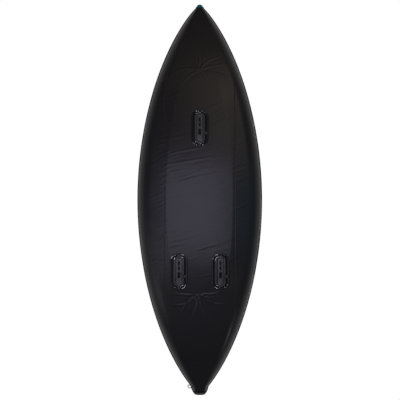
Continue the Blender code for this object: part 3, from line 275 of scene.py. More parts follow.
def from_grid(name, grid, key, thickness=0.0, flip=False, wrap=False, offset=-1):
    """A smooth sheet through a grid of points, with a UV map in metres and a thickness to its back."""
    grid = np.asarray(grid, float)
    rows, columns = grid.shape[:2]
    index = np.arange(rows * columns).reshape(rows, columns)
    if wrap:
        index = np.hstack([index, index[:, :1]])
    faces = np.stack([index[:-1, :-1], index[:-1, 1:], index[1:, 1:], index[1:, :-1]], axis=-1).reshape(-1, 4)
    if flip:
        faces = faces[:, ::-1]
    mesh = bpy.data.meshes.new(name)
    mesh.from_pydata(grid.reshape(-1, 3).tolist(), [], faces.tolist())
    across = np.linalg.norm(np.diff(grid, axis=1), axis=2)
    u = np.concatenate([np.zeros((rows, 1)), np.cumsum(across, axis=1)], axis=1)
    u -= u.mean(axis=1, keepdims=True)
    along = np.linalg.norm(np.diff(grid[:, columns // 2], axis=0), axis=1)
    v = np.repeat(np.concatenate([[0], np.cumsum(along)])[:, None], columns, axis=1)
    flat = np.stack([u, v], axis=-1).reshape(-1, 2)
    layer = mesh.uv_layers.new(name="metres")
    corners = np.empty(len(mesh.loops), np.int32)
    mesh.loops.foreach_get("vertex_index", corners)
    layer.data.foreach_set("uv", flat[corners].astype(np.float32).ravel())
    mesh.materials.append(MATERIALS[key])
    mesh.shade_smooth()
    obj = new_object(name, mesh)
    if thickness:
        thicken(obj, thickness, offset)
    return obj


def from_bmesh(name, bm, key, matrix=None, sharp=40):
    bmesh.ops.recalc_face_normals(bm, faces=bm.faces)
    mesh = bpy.data.meshes.new(name)
    bm.to_mesh(mesh)
    bm.free()
    mesh.materials.append(MATERIALS[key])
    mesh.shade_smooth()
    mesh.set_sharp_from_angle(angle=math.radians(sharp))
    return new_object(name, mesh, matrix)


def rods(name, lines, radius, key, matrix=None, cyclic=False, resolution=4):
    """Round rods along lines of points, all in one piece."""
    curve = bpy.data.curves.new(name, "CURVE")
    curve.dimensions = "3D"
    curve.bevel_depth = radius
    curve.bevel_resolution = resolution
    curve.use_fill_caps = not cyclic
    curve.materials.append(MATERIALS[key])
    for line in lines:
        spline = curve.splines.new("POLY")
        spline.points.add(len(line) - 1)
        spline.use_cyclic_u = cyclic
        for point, place in zip(spline.points, line):
            point.co = (*place, 1)
    return new_object(name, curve, matrix)


def stitches(name, lines, body, slot, matrix=None, pitch=0.0055):
    """Rows of thread: one short stitch after the other along each line."""
    pairs = []
    for line in lines:
        length = np.linalg.norm(np.diff(np.array(line, float), axis=0), axis=1).sum()
        places = resample(line, 2 * int(length / pitch) + 1)
        pairs += [(a - (b - a) * 0.2, b + (b - a) * 0.2) for a, b in zip(places[:-1:2], places[1::2])]
    finish(rods(name, pairs, THREAD_RADIUS, "thread", matrix, resolution=1), body, slot)


# ---------------------------------------------------------------- materials


class Nodes:
    """The shader nodes of a material or a world."""

    def __init__(self, owner, output=None):
        owner.use_nodes = True
        self.tree = owner.node_tree
        if output:
            self.tree.nodes.clear()
            self.surface = self.add(output).inputs["Surface"]

    def feed(self, socket, value):
        """Links an output into a socket, or sets the socket to a number, a vector's list or a colour's tuple."""
        if isinstance(value, bpy.types.NodeSocket):
            self.tree.links.new(value, socket)
        else:
            socket.default_value = (*value, 1) if isinstance(value, tuple) else value

    def add(self, kind, sockets={}, **settings):
        item = self.tree.nodes.new("ShaderNode" + kind)
        for key, value in settings.items():
            setattr(item, key, value)
        for key, value in sockets.items():
            self.feed(item.inputs[key], value)
        return item

    def math(self, operation, *parts):
        return self.add("Math", dict(enumerate(parts)), operation=operation).outputs[0]

    def times(self, a, b):
        return self.math("MULTIPLY", a, b)

    def plus(self, a, b):
        return self.math("ADD", a, b)

    def vector(self, operation, a, b):
        return self.add("VectorMath", {0: a, 1: b}, operation=operation).outputs

    def mix(self, share, a, b):
        return self.add("Mix", {0: share, 6: a, 7: b}, data_type="RGBA").outputs[2]

    def split(self, coords):
        return self.add("SeparateXYZ", {"Vector": coords}).outputs

    def span(self, value, low, high, ends="To"):
        """A value from 0 to 1 spread between low and high, or with ends "From" the other way round."""
        return self.add("MapRange", {f"{ends} Min": low, f"{ends} Max": high, "Value": value}).outputs[0]


class Finish(Nodes):
    """A material about its principled shader, mapped by the object's own metres."""

    def __init__(self, name, roughness, metallic=0.0, specular=0.5):
        self.material = bpy.data.materials.new(name)
        super().__init__(self.material)
        self.shader = self.tree.nodes["Principled BSDF"]
        self.place = self.add("TexCoord").outputs["Object"]
        self.put("Roughness", roughness)
        self.put("Metallic", metallic)
        self.put("Specular IOR Level", specular)

    def put(self, socket, value):
        self.feed(self.shader.inputs[socket], value)

    def noise(self, scale, detail=3.0, roughness=0.5):
        sockets = {"Scale": scale, "Detail": detail, "Roughness": roughness, "Vector": self.place}
        return self.add("TexNoise", sockets).outputs["Fac"]

    def uv(self):
        return self.add("TexCoord").outputs["UV"]

    def wave(self, value, turn):
        return self.math("SINE", self.times(value, turn))

    def blob(self, centre, size):
        """A soft spot: 1 at its centre, falling to 0 over its size."""
        away = self.vector("SUBTRACT", self.place, list(centre))[0]
        scaled = self.vector("MULTIPLY", away, [1 / s for s in size])[0]
        square = self.vector("DOT_PRODUCT", scaled, scaled)["Value"]
        return self.math("EXPONENT", self.times(square, -1.0))

    def bump(self, height, strength, distance):
        item = self.add("Bump", {"Strength": strength, "Distance": distance, "Height": height})
        self.put("Normal", item.outputs[0])

    def done(self, colour, rough, relief):
        """The material, painted with a colour, a (value, low, high) roughness and a (height, strength, distance)."""
        self.put("Base Color", colour)
        self.put("Roughness", self.span(*rough))
        self.bump(*relief)
        return self.material


def cloth(name, colour, dark, pitch, roughness=0.8, uv=True):
    """Woven cloth: threads in relief, faded patches and a little fuzz."""
    made = Finish(name, roughness, specular=0.3)
    parts = made.split(made.uv() if uv else made.place)
    threads = made.times(*(made.wave(part, math.pi / pitch) for part in (parts[0], parts[1])))
    fade = made.noise(5.0, 4.0, 0.6)
    fleck = made.noise(260.0, 2.0)
    tone = made.plus(made.times(fade, 0.6), made.times(fleck, 0.4))
    made.put("Sheen Weight", 0.15)
    return made.done(
        made.mix(made.span(tone, 0.0, 1.0), dark, colour),
        (fade, roughness - 0.08, min(1, roughness + 0.08)),
        (made.plus(threads, made.times(fleck, 0.5)), 0.35, pitch * 0.3),
    )


def coated(name):
    """Satin coated fabric: black, softly mottled, with lighter tinted patches of painted light, light dust specks and
    a fine grain.
    """
    made = Finish(name, 0.36)
    colour = made.mix(made.noise(3.2, 5.0, 0.62), (0.0062, 0.006, 0.007), (0.0115, 0.0112, 0.0128))
    # Lighter tinted patches in the colour, as painted light: a lavender painted sheen in the middle of the bottom
    # where it reflects the lamp below, warmer at the bow, teal and greyish on the two bilges and bluish at the stern.
    for centre, size, painted_tint, weight in (
        ((0.06, -1.02, 0), (0.34, 0.5, 5), (0.03, 0.023, 0.017), 0.75),
        ((0.0, 0.0, 0), (0.3, 0.5, 5), (0.026, 0.023, 0.036), 0.7),
        ((0.4, 0.08, 0), (0.13, 0.42, 5), (0.008, 0.02, 0.023), 0.8),
        ((0.0, 0.95, 0), (0.3, 0.4, 5), (0.014, 0.013, 0.02), 0.6),
        ((-0.42, 0.4, 0), (0.12, 0.6, 5), (0.016, 0.014, 0.018), 0.6),
    ):
        colour = made.mix(made.times(made.blob(centre, size), weight), colour, painted_tint)
    dust = made.times(made.math("POWER", made.noise(520.0, 2.0), 7.0), 1.2)
    colour = made.mix(dust, colour, (0.09, 0.09, 0.095))
    relief = made.plus(made.times(made.noise(900.0, 2.0), 0.12), made.noise(34.0, 4.0, 0.6))
    return made.done(colour, (made.noise(7.0, 4.0), 0.27, 0.43), (relief, 0.3, 0.0012))


def plain(name, colour, light, roughness, metallic=0.0, grain=700.0, depth=0.0003, specular=0.5):
    """Moulded plastic, rubber or metal: mottled colour, uneven gloss and a fine surface grain."""
    made = Finish(name, roughness, metallic, specular)
    broad = made.noise(24.0, 4.0, 0.6)
    spread = roughness * 0.3
    gloss = (broad, roughness - spread, roughness + spread)
    return made.done(made.mix(broad, colour, light), gloss, (made.noise(grain, 2.0), 0.25, depth))


def bound(name):
    """Black piping that turns dark teal where the cover is bound at the bow."""
    made = Finish(name, 0.42)
    broad = made.noise(24.0, 4.0, 0.6)
    black = made.mix(broad, (0.014, 0.014, 0.016), (0.024, 0.024, 0.027))
    colour = made.mix(made.blob((0, -1.68, 0.3), (5, 0.085, 5)), black, (0.01, 0.09, 0.105))
    return made.done(colour, (broad, 0.3, 0.54), (made.noise(700.0, 2.0), 0.25, 0.0003))


def webbing(name, colour, light):
    """Flat webbing: ribs across the strap and herringbone rows along it."""
    made = Finish(name, 0.75, specular=0.3)
    parts = made.split(made.uv())
    relief = made.times(made.wave(parts[1], 2 * math.pi / 0.0022), made.wave(parts[0], 2 * math.pi / 0.005))
    fade = made.noise(30.0)
    made.put("Sheen Weight", 0.2)
    return made.done(made.mix(fade, colour, light), (fade, 0.65, 0.85), (relief, 0.5, 0.0006))


def tread(name):
    """Coated floor fabric with a raised diamond tread."""
    made = Finish(name, 0.5)
    parts = made.split(made.place)
    slants = [made.math(operation, parts[0], parts[1]) for operation in ("ADD", "SUBTRACT")]
    relief = made.math("MAXIMUM", *(made.wave(slant, 2 * math.pi / 0.014) for slant in slants))
    fade = made.noise(6.0, 4.0, 0.6)
    colour = made.mix(fade, (0.2, 0.205, 0.215), (0.27, 0.275, 0.285))
    return made.done(colour, (fade, 0.42, 0.58), (relief, 0.4, 0.0008))


def make_materials():
    MATERIALS.update({
        "bottom": coated("bottom_coated_fabric"),
        "cover": cloth("teal_woven_cover", (0.014, 0.25, 0.32), (0.009, 0.19, 0.25), 0.0011),
        "deck": cloth("charcoal_deck_cloth", (0.07, 0.075, 0.082), (0.045, 0.049, 0.054), 0.0011),
        "seat": cloth("charcoal_seat_cloth", (0.075, 0.08, 0.088), (0.05, 0.053, 0.06), 0.0016, 0.88, False),
        "teal_tip": cloth("teal_tip_cloth", (0.012, 0.21, 0.25), (0.008, 0.14, 0.18), 0.0011, uv=False),
        "floor": tread("tread_coated_fabric"),
        "trim": bound("black_piping"),
        "web": webbing("black_webbing", (0.012, 0.012, 0.013), (0.024, 0.024, 0.026)),
    })
    for key, *rest in (
        ("fin", "gloss_fin_lip", (0.003, 0.0035, 0.006), (0.006, 0.0065, 0.01), 0.08, 0, 700, 0.0001, 0.8),
        # painted shade: the trough's finish is darker and duller than the lip's, standing in for the shade in the
        # trough and the channel
        ("fin_dark", "fin_trough", (0.0012, 0.0014, 0.0026), (0.003, 0.0033, 0.005), 0.5, 0, 700, 0.0003, 0.12),
        ("fin_face", "satin_fin_boss", (0.014, 0.014, 0.016), (0.034, 0.034, 0.038), 0.36, 0, 700, 0.0001),
        ("fin_rail", "satin_fin_rail", (0.032, 0.032, 0.036), (0.06, 0.06, 0.066), 0.36, 0, 700, 0.0001),
        ("latch", "satin_latch_moulding", (0.04, 0.04, 0.044), (0.07, 0.07, 0.076), 0.3),
        ("nylon", "black_moulded_nylon", (0.022, 0.022, 0.024), (0.036, 0.036, 0.039), 0.4),
        ("pin", "white_moulded_nylon", (0.62, 0.62, 0.6), (0.7, 0.7, 0.68), 0.4),
        ("patch", "welded_patch", (0.024, 0.025, 0.028), (0.036, 0.038, 0.042), 0.5),
        ("rubber", "soft_rubber_grip", (0.018, 0.018, 0.02), (0.03, 0.03, 0.032), 0.62),
        ("steel", "polished_steel", (0.56, 0.57, 0.59), (0.66, 0.67, 0.69), 0.2, 1.0, 300.0, 0.0001),
        ("thread", "grey_thread", (0.16, 0.165, 0.175), (0.22, 0.225, 0.235), 0.7),
        ("bladder", "grey_bladder_film", (0.26, 0.265, 0.28), (0.34, 0.345, 0.36), 0.4, 0, 60.0),
    ):
        MATERIALS[key] = plain(*rest)


# ---------------------------------------------------------------- creases of the bottom skin

# Each crease: three points in the photograph's pixels, and a size
BOW_STAR = (
    ((199.6, 72.5), (199.2, 62), (198.6, 47), 1.5),
    ((199.2, 72), (193, 65), (185, 58), 1.3),
    ((198, 71.5), (183, 71), (167, 80), 1.6),
    ((198, 73), (188, 79), (178, 91), 1.0),
    ((200.5, 71.5), (209, 62), (223, 58), 1.7),
    ((201, 71.5), (213, 68), (226, 66), 1.2),
    ((202, 73), (217, 75.5), (233, 82), 1.6),
    ((200, 71), (204, 60), (206, 50), 1.1),
    ((199, 70.5), (195.5, 60), (194.5, 50), 1.0),
    ((200.5, 74), (207, 82), (218, 90), 0.8),
)
STERN_STAR = (
    ((199, 293.5), (189, 300), (180, 314), 1.7),
    ((198, 293.5), (184, 303), (167, 300.5), 1.9),
    ((196, 293), (182, 293), (168, 290), 1.2),
    ((200.5, 293.5), (211, 300), (220.5, 316), 1.7),
    ((201.5, 293.5), (214, 302), (231, 300), 1.9),
    ((203, 292.6), (212, 292.5), (222, 289.5), 1.8),
    ((199.7, 294), (200, 299), (200.3, 306), 1.2),
    ((199, 295), (195.5, 308), (190, 322), 0.9),
    ((200.4, 295), (204, 309), (208, 320), 0.9),
)
PANEL_CREASES = (
    ((166, 102), (176, 96), (189, 94), 1.3),
    ((166, 112), (176, 106), (186, 105), 0.8),
    ((166, 126), (178, 121), (195, 118), 0.9),
    ((212, 126), (222, 122), (232, 116), 1.1),
    ((208, 118), (220, 114), (232, 110), 0.7),
    ((166, 141), (182, 137), (197, 133), 0.8),
    ((165, 156), (195, 149), (232, 142), 1.3),
    ((166, 166), (198, 160), (232, 155), 1.0),
    ((165, 178), (176, 172), (190, 170), 0.9),
    ((171, 186), (196, 178), (232, 171), 1.2),
    ((206, 190), (220, 183), (232, 176), 0.8),
    ((168, 199), (188, 196), (212, 187), 1.0),
    ((167, 211), (196, 208), (232, 193), 1.2),
    ((166, 220), (184, 213), (206, 207), 0.9),
    ((167, 230), (178, 230), (194, 228), 0.9),
    ((166, 241), (190, 236), (216, 226), 1.0),
    ((195, 250), (214, 244), (234, 237), 1.4),
    ((166, 248), (178, 244), (192, 243), 1.1),
    ((205, 254), (220, 249), (236, 246), 1.0),
    ((224, 262), (232, 257), (246, 251), 1.2),
)


def make_strokes():
    """All creases: plan curve, height, width, and the shares of it that fade in and out."""
    rng = np.random.default_rng(7)
    draw = rng.uniform
    strokes = []

    def crease(points, rise, width, near, far):
        a, b, c = ((np.array(point) - CENTRE_PX) * PIXEL for point in points)
        middle = 2 * b - (a + c) / 2
        t = np.linspace(0, 1, 9)[:, None]
        path = (1 - t) ** 2 * a + 2 * t * (1 - t) * middle + t * t * c
        strokes.append((path, rise, width, near, far))

    for *points, size in BOW_STAR:
        crease(points, 0.003 * size, 0.008, 0.02, 0.7)
    for *points, size in STERN_STAR:
        crease(points, 0.0048 * size, 0.0085, 0.016, 0.5)
    for x, y, turn, count, reach in ((199.6, 72, 0, 17, 13), (199.5, 293.5, 180, 15, 16)):
        for k in range(count):
            angle = math.radians(turn - 100 + 200 * k / (count - 1) + draw(-7, 7))
            away = reach * draw(0.6, 1.5)
            bends = [(away * share, angle + 0.35 * share * math.sin(angle * 3)) for share in (0.12, 0.55, 1)]
            points = [(x + far * math.sin(bend), y - far * math.cos(bend)) for far, bend in bends]
            crease(points, draw(0.0014, 0.0028), 0.0075, 0.08, 0.6)
    for *points, size in PANEL_CREASES:
        crease(points, 0.0021 * size, 0.0105, 0.25, 0.5)
    for k in range(30):
        y, x, reach = 84 + k * 6.2 + draw(-2, 2), 165 + draw(-2.5, 2), draw(7, 16)
        points = ((x - reach * 0.5, y + 3), (x, y), (x + reach, y - draw(2, 5)))
        crease(points, draw(0.0009, 0.0022), 0.008, 0.3, 0.5)
    for k in range(18):
        y, x, reach = 128 + k * 9 + draw(-3, 3), 233 + draw(-2, 2), draw(6, 18)
        points = ((x - 4, y + 2), (x + reach * 0.4, y), (x + reach, y - draw(3, 7)))
        crease(points, draw(0.0009, 0.0024), 0.009, 0.3, 0.6)
    for k in range(70):
        x, y, reach = draw(168, 228), draw(96, 284), draw(8, 26)
        points = ((x - reach / 2, y + reach * 0.14), (x, y + draw(-1, 1)), (x + reach / 2, y - reach * 0.16))
        crease(points, draw(0.0005, 0.0014), 0.0085, 0.4, 0.4)
    for k in range(14):
        x, y = draw(166, 176), draw(252, 288)
        points = ((x - 5, y + 1), (x, y), (x + draw(3, 8), y - draw(0, 3)))
        crease(points, draw(0.0008, 0.0018), 0.007, 0.4, 0.4)
    for k in range(26):
        y, x, reach = draw(84, 330), 199.8 + (1 if k % 2 else -1) * draw(38, 50), draw(4, 9)
        points = ((x - reach, y + reach * 0.4), (x, y), (x + reach, y - reach * 0.5))
        crease(points, draw(0.0006, 0.0015), 0.009, 0.4, 0.4)
    return strokes


def crease_heights(x, y, strokes):
    """How far the skin stands out at plan points, from all creases together."""
    height = np.zeros_like(x)
    for path, rise, width, near, far in strokes:
        low, high = path.min(axis=0) - 3 * width, path.max(axis=0) + 3 * width
        inside = (x > low[0]) & (x < high[0]) & (y > low[1]) & (y < high[1])
        if not inside.any():
            continue
        px, py = x[inside], y[inside]
        best = np.full(px.shape, 1e9)
        share = np.zeros(px.shape)
        count = len(path) - 1
        for k in range(count):
            a, d = path[k], path[k + 1] - path[k]
            t = np.clip(((px - a[0]) * d[0] + (py - a[1]) * d[1]) / (d @ d), 0, 1)
            away = (px - a[0] - t * d[0]) ** 2 + (py - a[1] - t * d[1]) ** 2
            closer = away < best
            best = np.where(closer, away, best)
            share = np.where(closer, (k + t) / count, share)
        fade = np.clip(share / near, 0, 1) * np.clip((1 - share) / far, 0, 1)
        height[inside] += rise * (np.exp(-best / width**2) - 0.45 * np.exp(-best / (2 * width) ** 2)) * fade
    return height


def displaced(grid, strokes, side):
    """The grid moved out by creases and broad waves, but not under fin boxes; side is the sense of its outside."""
    grid = np.asarray(grid, float)
    normal = np.cross(np.gradient(grid, axis=1), np.gradient(grid, axis=0))
    normal /= np.linalg.norm(normal, axis=2, keepdims=True) + 1e-12
    x, y = grid[..., 0], grid[..., 1]
    wave = np.sin(9 * x + 4.1 * y + 0.6) * np.sin(2.3 * x - 5.2 * y + 1.9)
    fine = np.sin(41 * y + 12 * x + 0.4) * np.sin(17 * x + 3 * y + 2.0)
    height = crease_heights(x, y, strokes) + 0.0009 * wave + 0.00025 * fine
    for cx, cy in FIN_PLACES.values():
        away = np.maximum(np.abs(x - cx) - FIN_HALF_WIDTH, np.abs(y - cy) - FIN_HALF_LENGTH)
        height *= np.clip((away - 0.002) / 0.02, 0, 1)
    height *= np.clip((TIP_Y - np.abs(y)) / 0.05, 0, 1)
    return grid + normal * side * height[..., None]


# ---------------------------------------------------------------- bottom, covers, floor and decks


def declare_sheet(grid):
    """Takes a grid of points as an array and does nothing more with it."""
    grid = np.asarray(grid, float)


def make_bottom():
    """The taut bottom skin: a centre panel and two bilge panels, creased as one."""
    strokes = make_strokes()
    rows = hull_rows(FINE_STEP)
    halves = [split_profile(y) for y in rows]
    inners = [resample(inner, int(SEAM_HALF / FINE_STEP) + 1) for inner, _ in halves]
    panel = [
        [(-x, y, z) for x, z in half[:0:-1]] + [(x, y, z) for x, z in half] for y, half in zip(rows, inners)
    ]
    parts = [("center_panel_skin", panel, -1, "floor_chamber", "bottom_center_panel")]
    for name, side in SIDES:
        outers = [resample(outer, int(BILGE_GIRTH / FINE_STEP)) for _, outer in halves]
        bilge = [[(side * x, y, z) for x, z in outer] for y, outer in zip(rows, outers)]
        parts.append((f"{name}_bilge_skin", bilge, -side, f"{name}_tube_chamber", f"{name}_bilge_panel"))
    for name, points, outside, chamber, node in parts:
        grid = displaced(points, strokes, outside)
        piece = from_grid(name, grid, "bottom", CLOTH, flip=outside < 0)
        declare_sheet(grid)
        finish(piece, "hull", "bottom_skin", node)


def cover_wave(y, degrees, end):
    """Gathers of the tube cover: broad ones all over, puckers beside its seams, none under its valve."""
    share = abs(y) / HALF_LENGTH
    ripple = math.sin(38 * y + degrees * 0.05) * math.sin(degrees * 0.11 + 7 * y)
    broad = math.sin(11 * y + 0.02 * degrees + 1.3 * math.sin(5 * y)) * math.sin(degrees * 0.045 + 0.5)
    pucker = math.sin(128 * y + 2.2 * math.sin(9 * y)) * (0.6 + 0.4 * math.sin(17 * y + 1))
    near = math.exp(-(((degrees - 9) / 9) ** 2)) + 0.7 * math.exp(-(((end - degrees - 9) / 9) ** 2))
    away = math.hypot(y - VALVES["left"][1], (degrees - 78) * 0.0022) / 0.05
    height = 0.0011 * ripple * (0.35 + share) + 0.0008 * broad + 0.0009 * pucker * near
    return height * (1 - math.exp(-(away**4)))


def drill(piece, name, key):
    """Opens the hole that a valve sits in."""
    bm = bmesh.new()
    bmesh.ops.create_cone(bm, cap_ends=True, segments=48, radius1=VALVE_HOLE, radius2=VALVE_HOLE, depth=0.09)
    cut(piece, [from_bmesh(f"{name}_hole", bm, key, Matrix.Translation(VALVES[name]))])


def make_covers():
    rows = hull_rows(COVER_STEP)
    for name, side in SIDES:

        def place(y, k):
            share = abs(y) / HALF_LENGTH
            end = 200 - 22 * share * share
            degrees = 1 + (end - 1) * k / 60
            fade = smooth_step(k / 3) * smooth_step((60 - k) / 3)
            x, z = tube_point(section(y), degrees, cover_wave(y, degrees, end) * fade)
            return side * x, y, z

        grid = grid_of(rows, range(61), place)
        piece = from_grid(f"{name}_cover_cloth", grid, "cover", CLOTH, flip=side > 0)
        drill(piece, name, "cover")
        declare_sheet(grid)
        finish(piece, "hull", "tube_cover", f"{name}_tube_cover")
        path = [(side * (section(y)[0] + GAP + PIPING_RADIUS), y, section(y)[5]) for y in rows]
        piece = rods(f"{name}_edge_piping", [path], PIPING_RADIUS, "trim")
        finish(piece, "hull", "piping", f"{name}_seam_piping")


def make_floor():
    """The inflated floor, with rounded shoulders and tapered ends."""
    heights = [0.002, 0.006, FLOOR_CORNER, 0.03, FLOOR_THICK - FLOOR_SHOULDER]
    heights += [FLOOR_THICK - FLOOR_SHOULDER * (1 - math.sin(math.radians(a))) for a in range(10, 91, 10)]
    grid = []
    for y in hull_rows(ROW_STEP, -FLOOR_BOW, FLOOR_STERN):
        values = section(y)
        run = min(1, max(0.0, min(y + FLOOR_BOW, FLOOR_STERN - y) / FLOOR_END))
        full = math.sin(math.pi / 2 * run) ** 0.7
        half = values[7] * (0.62 + 0.38 * full)
        base = values[3] + SLAB_LIFT
        right = [(half - slab_inset(z), base + z * (0.5 + 0.5 * full)) for z in heights]
        edge, top = right[-1]
        right += [(edge * (1 - k / 8), top) for k in range(1, 9)]
        grid.append([(x, y, z) for x, z in right] + [(-x, y, z) for x, z in right[-2::-1]])
    obj = from_grid("floor_cloth", grid, "floor", flip=True, wrap=True)
    with editing(obj.data) as bm:
        bmesh.ops.holes_fill(bm, edges=[e for e in bm.edges if e.is_boundary], sides=0)
        bmesh.ops.recalc_face_normals(bm, faces=bm.faces)
    obj.data.shade_smooth()
    obj.data.set_sharp_from_angle(angle=math.radians(50))
    drill(obj, "floor", "floor")
    finish(obj, "hull", "air_chamber", "floor_chamber")


def deck_height(y, x):
    """The deck's height over a half breadth: drawn between the crowns, then round the tube."""
    _, width, height, _, centre_x, centre_z, _, _ = section(y)
    crown = centre_z + height + GAP + SKIN
    if x <= centre_x:
        return crown - DECK_SAG * (1 - (x / max(centre_x, 0.01)) ** 2) * smooth_step(centre_x / 0.12)
    share = min(1, (x - centre_x) / (width + GAP + SKIN))
    return centre_z + (height + GAP + SKIN) * math.sqrt(1 - share * share)


def make_decks():
    for name, sign, edge in (("bow", -1, DECK_BOW_EDGE), ("stern", 1, DECK_STERN_EDGE)):
        rows = [edge + CUT_DEPTH * math.sin(math.pi / 2 * k / 32) for k in range(33)]
        count = int((TIP_Y - rows[-1]) / ROW_STEP)
        rows += [rows[-1] + (TIP_Y - rows[-1]) * k / count for k in range(1, count + 1)]

        def place(away, k):
            y = sign * away
            values = section(y)
            share = (away - edge) / CUT_DEPTH
            start = CUT_HALF * math.sqrt(max(0, 1 - share * share)) if share < 1 else 0.0
            end = values[4] + (values[1] + GAP + SKIN) * math.cos(math.radians(DECK_ANGLE))
            x = start + (end - start) * math.sin(math.pi / 2 * k / 24) ** 0.9
            fold = 0.0007 * math.sin(55 * x + 3) * math.sin(21 * y) * smooth_step(k / 4)
            fold += 0.0006 * math.sin(70 * away + 30 * x) * math.exp(-(((24 - k) / 5) ** 2))
            return x, y, deck_height(y, x) + fold

        grid = grid_of(rows, range(25), place)
        piece = from_grid(f"{name}_deck_cloth", grid, "deck", flip=sign > 0)
        mirror = piece.modifiers.new("Port and starboard", "MIRROR")
        mirror.use_clip = True
        mirror.merge_threshold = 0.0004
        thicken(piece, DECK_CLOTH)
        declare_sheet(grid)
        finish(piece, "hull", "deck_cloth", f"{name}_deck")
        hems = [[row[-2] for row in grid[1:-2]], grid[1][6:-1], [row[1] for row in grid[:33]]]
        lines = [[(side * x, y, z + 0.0009) for x, y, z in hem] for _, side in SIDES for hem in hems]
        stitches(f"{name}_deck_stitches", lines, "hull", "deck_cloth", pitch=0.007)
        path = []
        for k in range(49):
            x = (CUT_HALF + COAMING_RADIUS) * math.cos(math.pi * k / 48)
            y = sign * (edge + (CUT_DEPTH + COAMING_RADIUS) * math.sin(math.pi * k / 48))
            path.append((x, y, deck_height(y, min(abs(x), section(y)[4])) + 0.0056))
        piece = rods(f"{name}_coaming_piping", [path], COAMING_RADIUS, "trim")
        finish(piece, "hull", "piping", f"{name}_deck_piping")


# ---------------------------------------------------------------- solids and sweeps


def box_uv(mesh):
    """A UV map in metres: each face takes the two directions that it faces least."""
    layer = mesh.uv_layers.new(name="metres")
    points = np.empty(len(mesh.vertices) * 3, np.float32)
    mesh.vertices.foreach_get("co", points)
    corners = np.empty(len(mesh.loops), np.int32)
    mesh.loops.foreach_get("vertex_index", corners)
    totals = np.empty(len(mesh.polygons), np.int32)
    mesh.polygons.foreach_get("loop_total", totals)
    normals = np.empty(len(mesh.polygons) * 3, np.float32)
    mesh.polygons.foreach_get("normal", normals)
    axis = np.repeat(np.abs(normals.reshape(-1, 3)).argmax(axis=1), totals)
    keep = np.array([[1, 2], [0, 2], [0, 1]])[axis]
    uv = np.take_along_axis(points.reshape(-1, 3)[corners], keep, axis=1)
    layer.data.foreach_set("uv", uv.astype(np.float32).ravel())


def skinned(rings, closed=False):
    """A solid through rings of points, capped unless the last ring joins the first."""
    bm = bmesh.new()
    rings = [[bm.verts.new(point) for point in ring] for ring in rings]
    count = len(rings[0])
    for first, second in zip(rings, rings[1:] + rings[:1] if closed else rings[1:]):
        for i in range(count):
            bm.faces.new((first[i], first[(i + 1) % count], second[(i + 1) % count], second[i]))
    if not closed:
        bm.faces.new(rings[0])
        bm.faces.new(rings[-1])
    return bm


def swept(name, centres, sides, ups, profiles, key, closed=False):
    """A solid along centres: each profile is a ring of (side, up) offsets."""
    rings = []
    for centre, side, up, profile in zip(centres, sides, ups, profiles):
        rings.append([Vector(centre) + Vector(side) * a + Vector(up) * b for a, b in profile])
    obj = from_bmesh(name, skinned(rings, closed), key, sharp=50)
    box_uv(obj.data)
    return obj


def flat_profile(half_width, half_thick):
    """A flat band's section with rounded edges."""
    ring = []
    for sx, first in ((1, -90), (-1, 90)):
        for k in range(4):
            angle = math.radians(first + 60 * k)
            ring.append((sx * (half_width - half_thick) + half_thick * math.cos(angle), half_thick * math.sin(angle)))
    return ring


def circle(radius, sides):
    angles = [2 * math.pi * k / sides for k in range(sides)]
    return [(radius * math.cos(a), radius * math.sin(a)) for a in angles]


def revolve(name, profile, key, place, sides=56):
    """A turned solid about Z from an open profile of (radius, height), closed at the axis."""
    bm = bmesh.new()
    rings = []
    for radius, z in profile:
        points = circle(radius, sides) if radius > 1e-6 else [(0, 0)]
        rings.append([bm.verts.new((x, y, z)) for x, y in points])
    for first, second in zip(rings, rings[1:]):
        for i in range(sides):
            j = (i + 1) % sides
            quad = [first[i % len(first)], first[j % len(first)], second[j % len(second)], second[i % len(second)]]
            corners = list(dict.fromkeys(quad))
            if len(corners) > 2:
                bm.faces.new(corners)
    return from_bmesh(name, bm, key, Matrix.Translation(place), sharp=35)


def rounded_outline(half_x, half_y, radius, facet=0.0):
    """Points round a rectangle, its corners arcs of 8 steps or, with facet 1, two straight cuts."""
    points = []
    for k, (sx, sy) in enumerate(((1, -1), (1, 1), (-1, 1), (-1, -1))):
        angles = [math.radians(90 * (k - 1) + 90 * step / 8) for step in range(9)]
        arc = [np.array((math.cos(a), math.sin(a))) for a in angles]
        for step, point in enumerate(arc):
            first = 0 if step <= 4 else 4
            straight = arc[first] + (arc[first + 4] - arc[first]) * (step - first) / 4
            x, y = point * (1 - facet) + straight * facet
            points.append((sx * (half_x - radius) + radius * x, sy * (half_y - radius) + radius * y))
    return points


def add_block(bm, centre, size, rounding=0.0, segments=2):
    """A box, with its edges rounded off if rounding is set."""
    made = set(bmesh.ops.create_cube(bm, size=1)["verts"])
    for vert in made:
        vert.co = [c + s * v for c, s, v in zip(centre, size, vert.co)]
    if rounding:
        edges = [e for e in bm.edges if e.verts[0] in made]
        bmesh.ops.bevel(bm, geom=edges, offset=rounding, segments=segments, affect="EDGES")


def evaluated_mesh(obj):
    graph = bpy.context.evaluated_depsgraph_get()
    return bpy.data.meshes.new_from_object(obj.evaluated_get(graph), depsgraph=graph)


def cut(obj, cutters):
    """Takes the cutters out of obj and applies the result."""
    for cutter in cutters:
        modifier = obj.modifiers.new("Cut", "BOOLEAN")
        modifier.operation = "DIFFERENCE"
        modifier.solver = "EXACT"
        modifier.object = cutter
    bpy.context.view_layer.update()
    mesh = evaluated_mesh(obj)
    obj.modifiers.clear()
    obj.data = mesh
    for cutter in cutters:
        bpy.data.objects.remove(cutter)


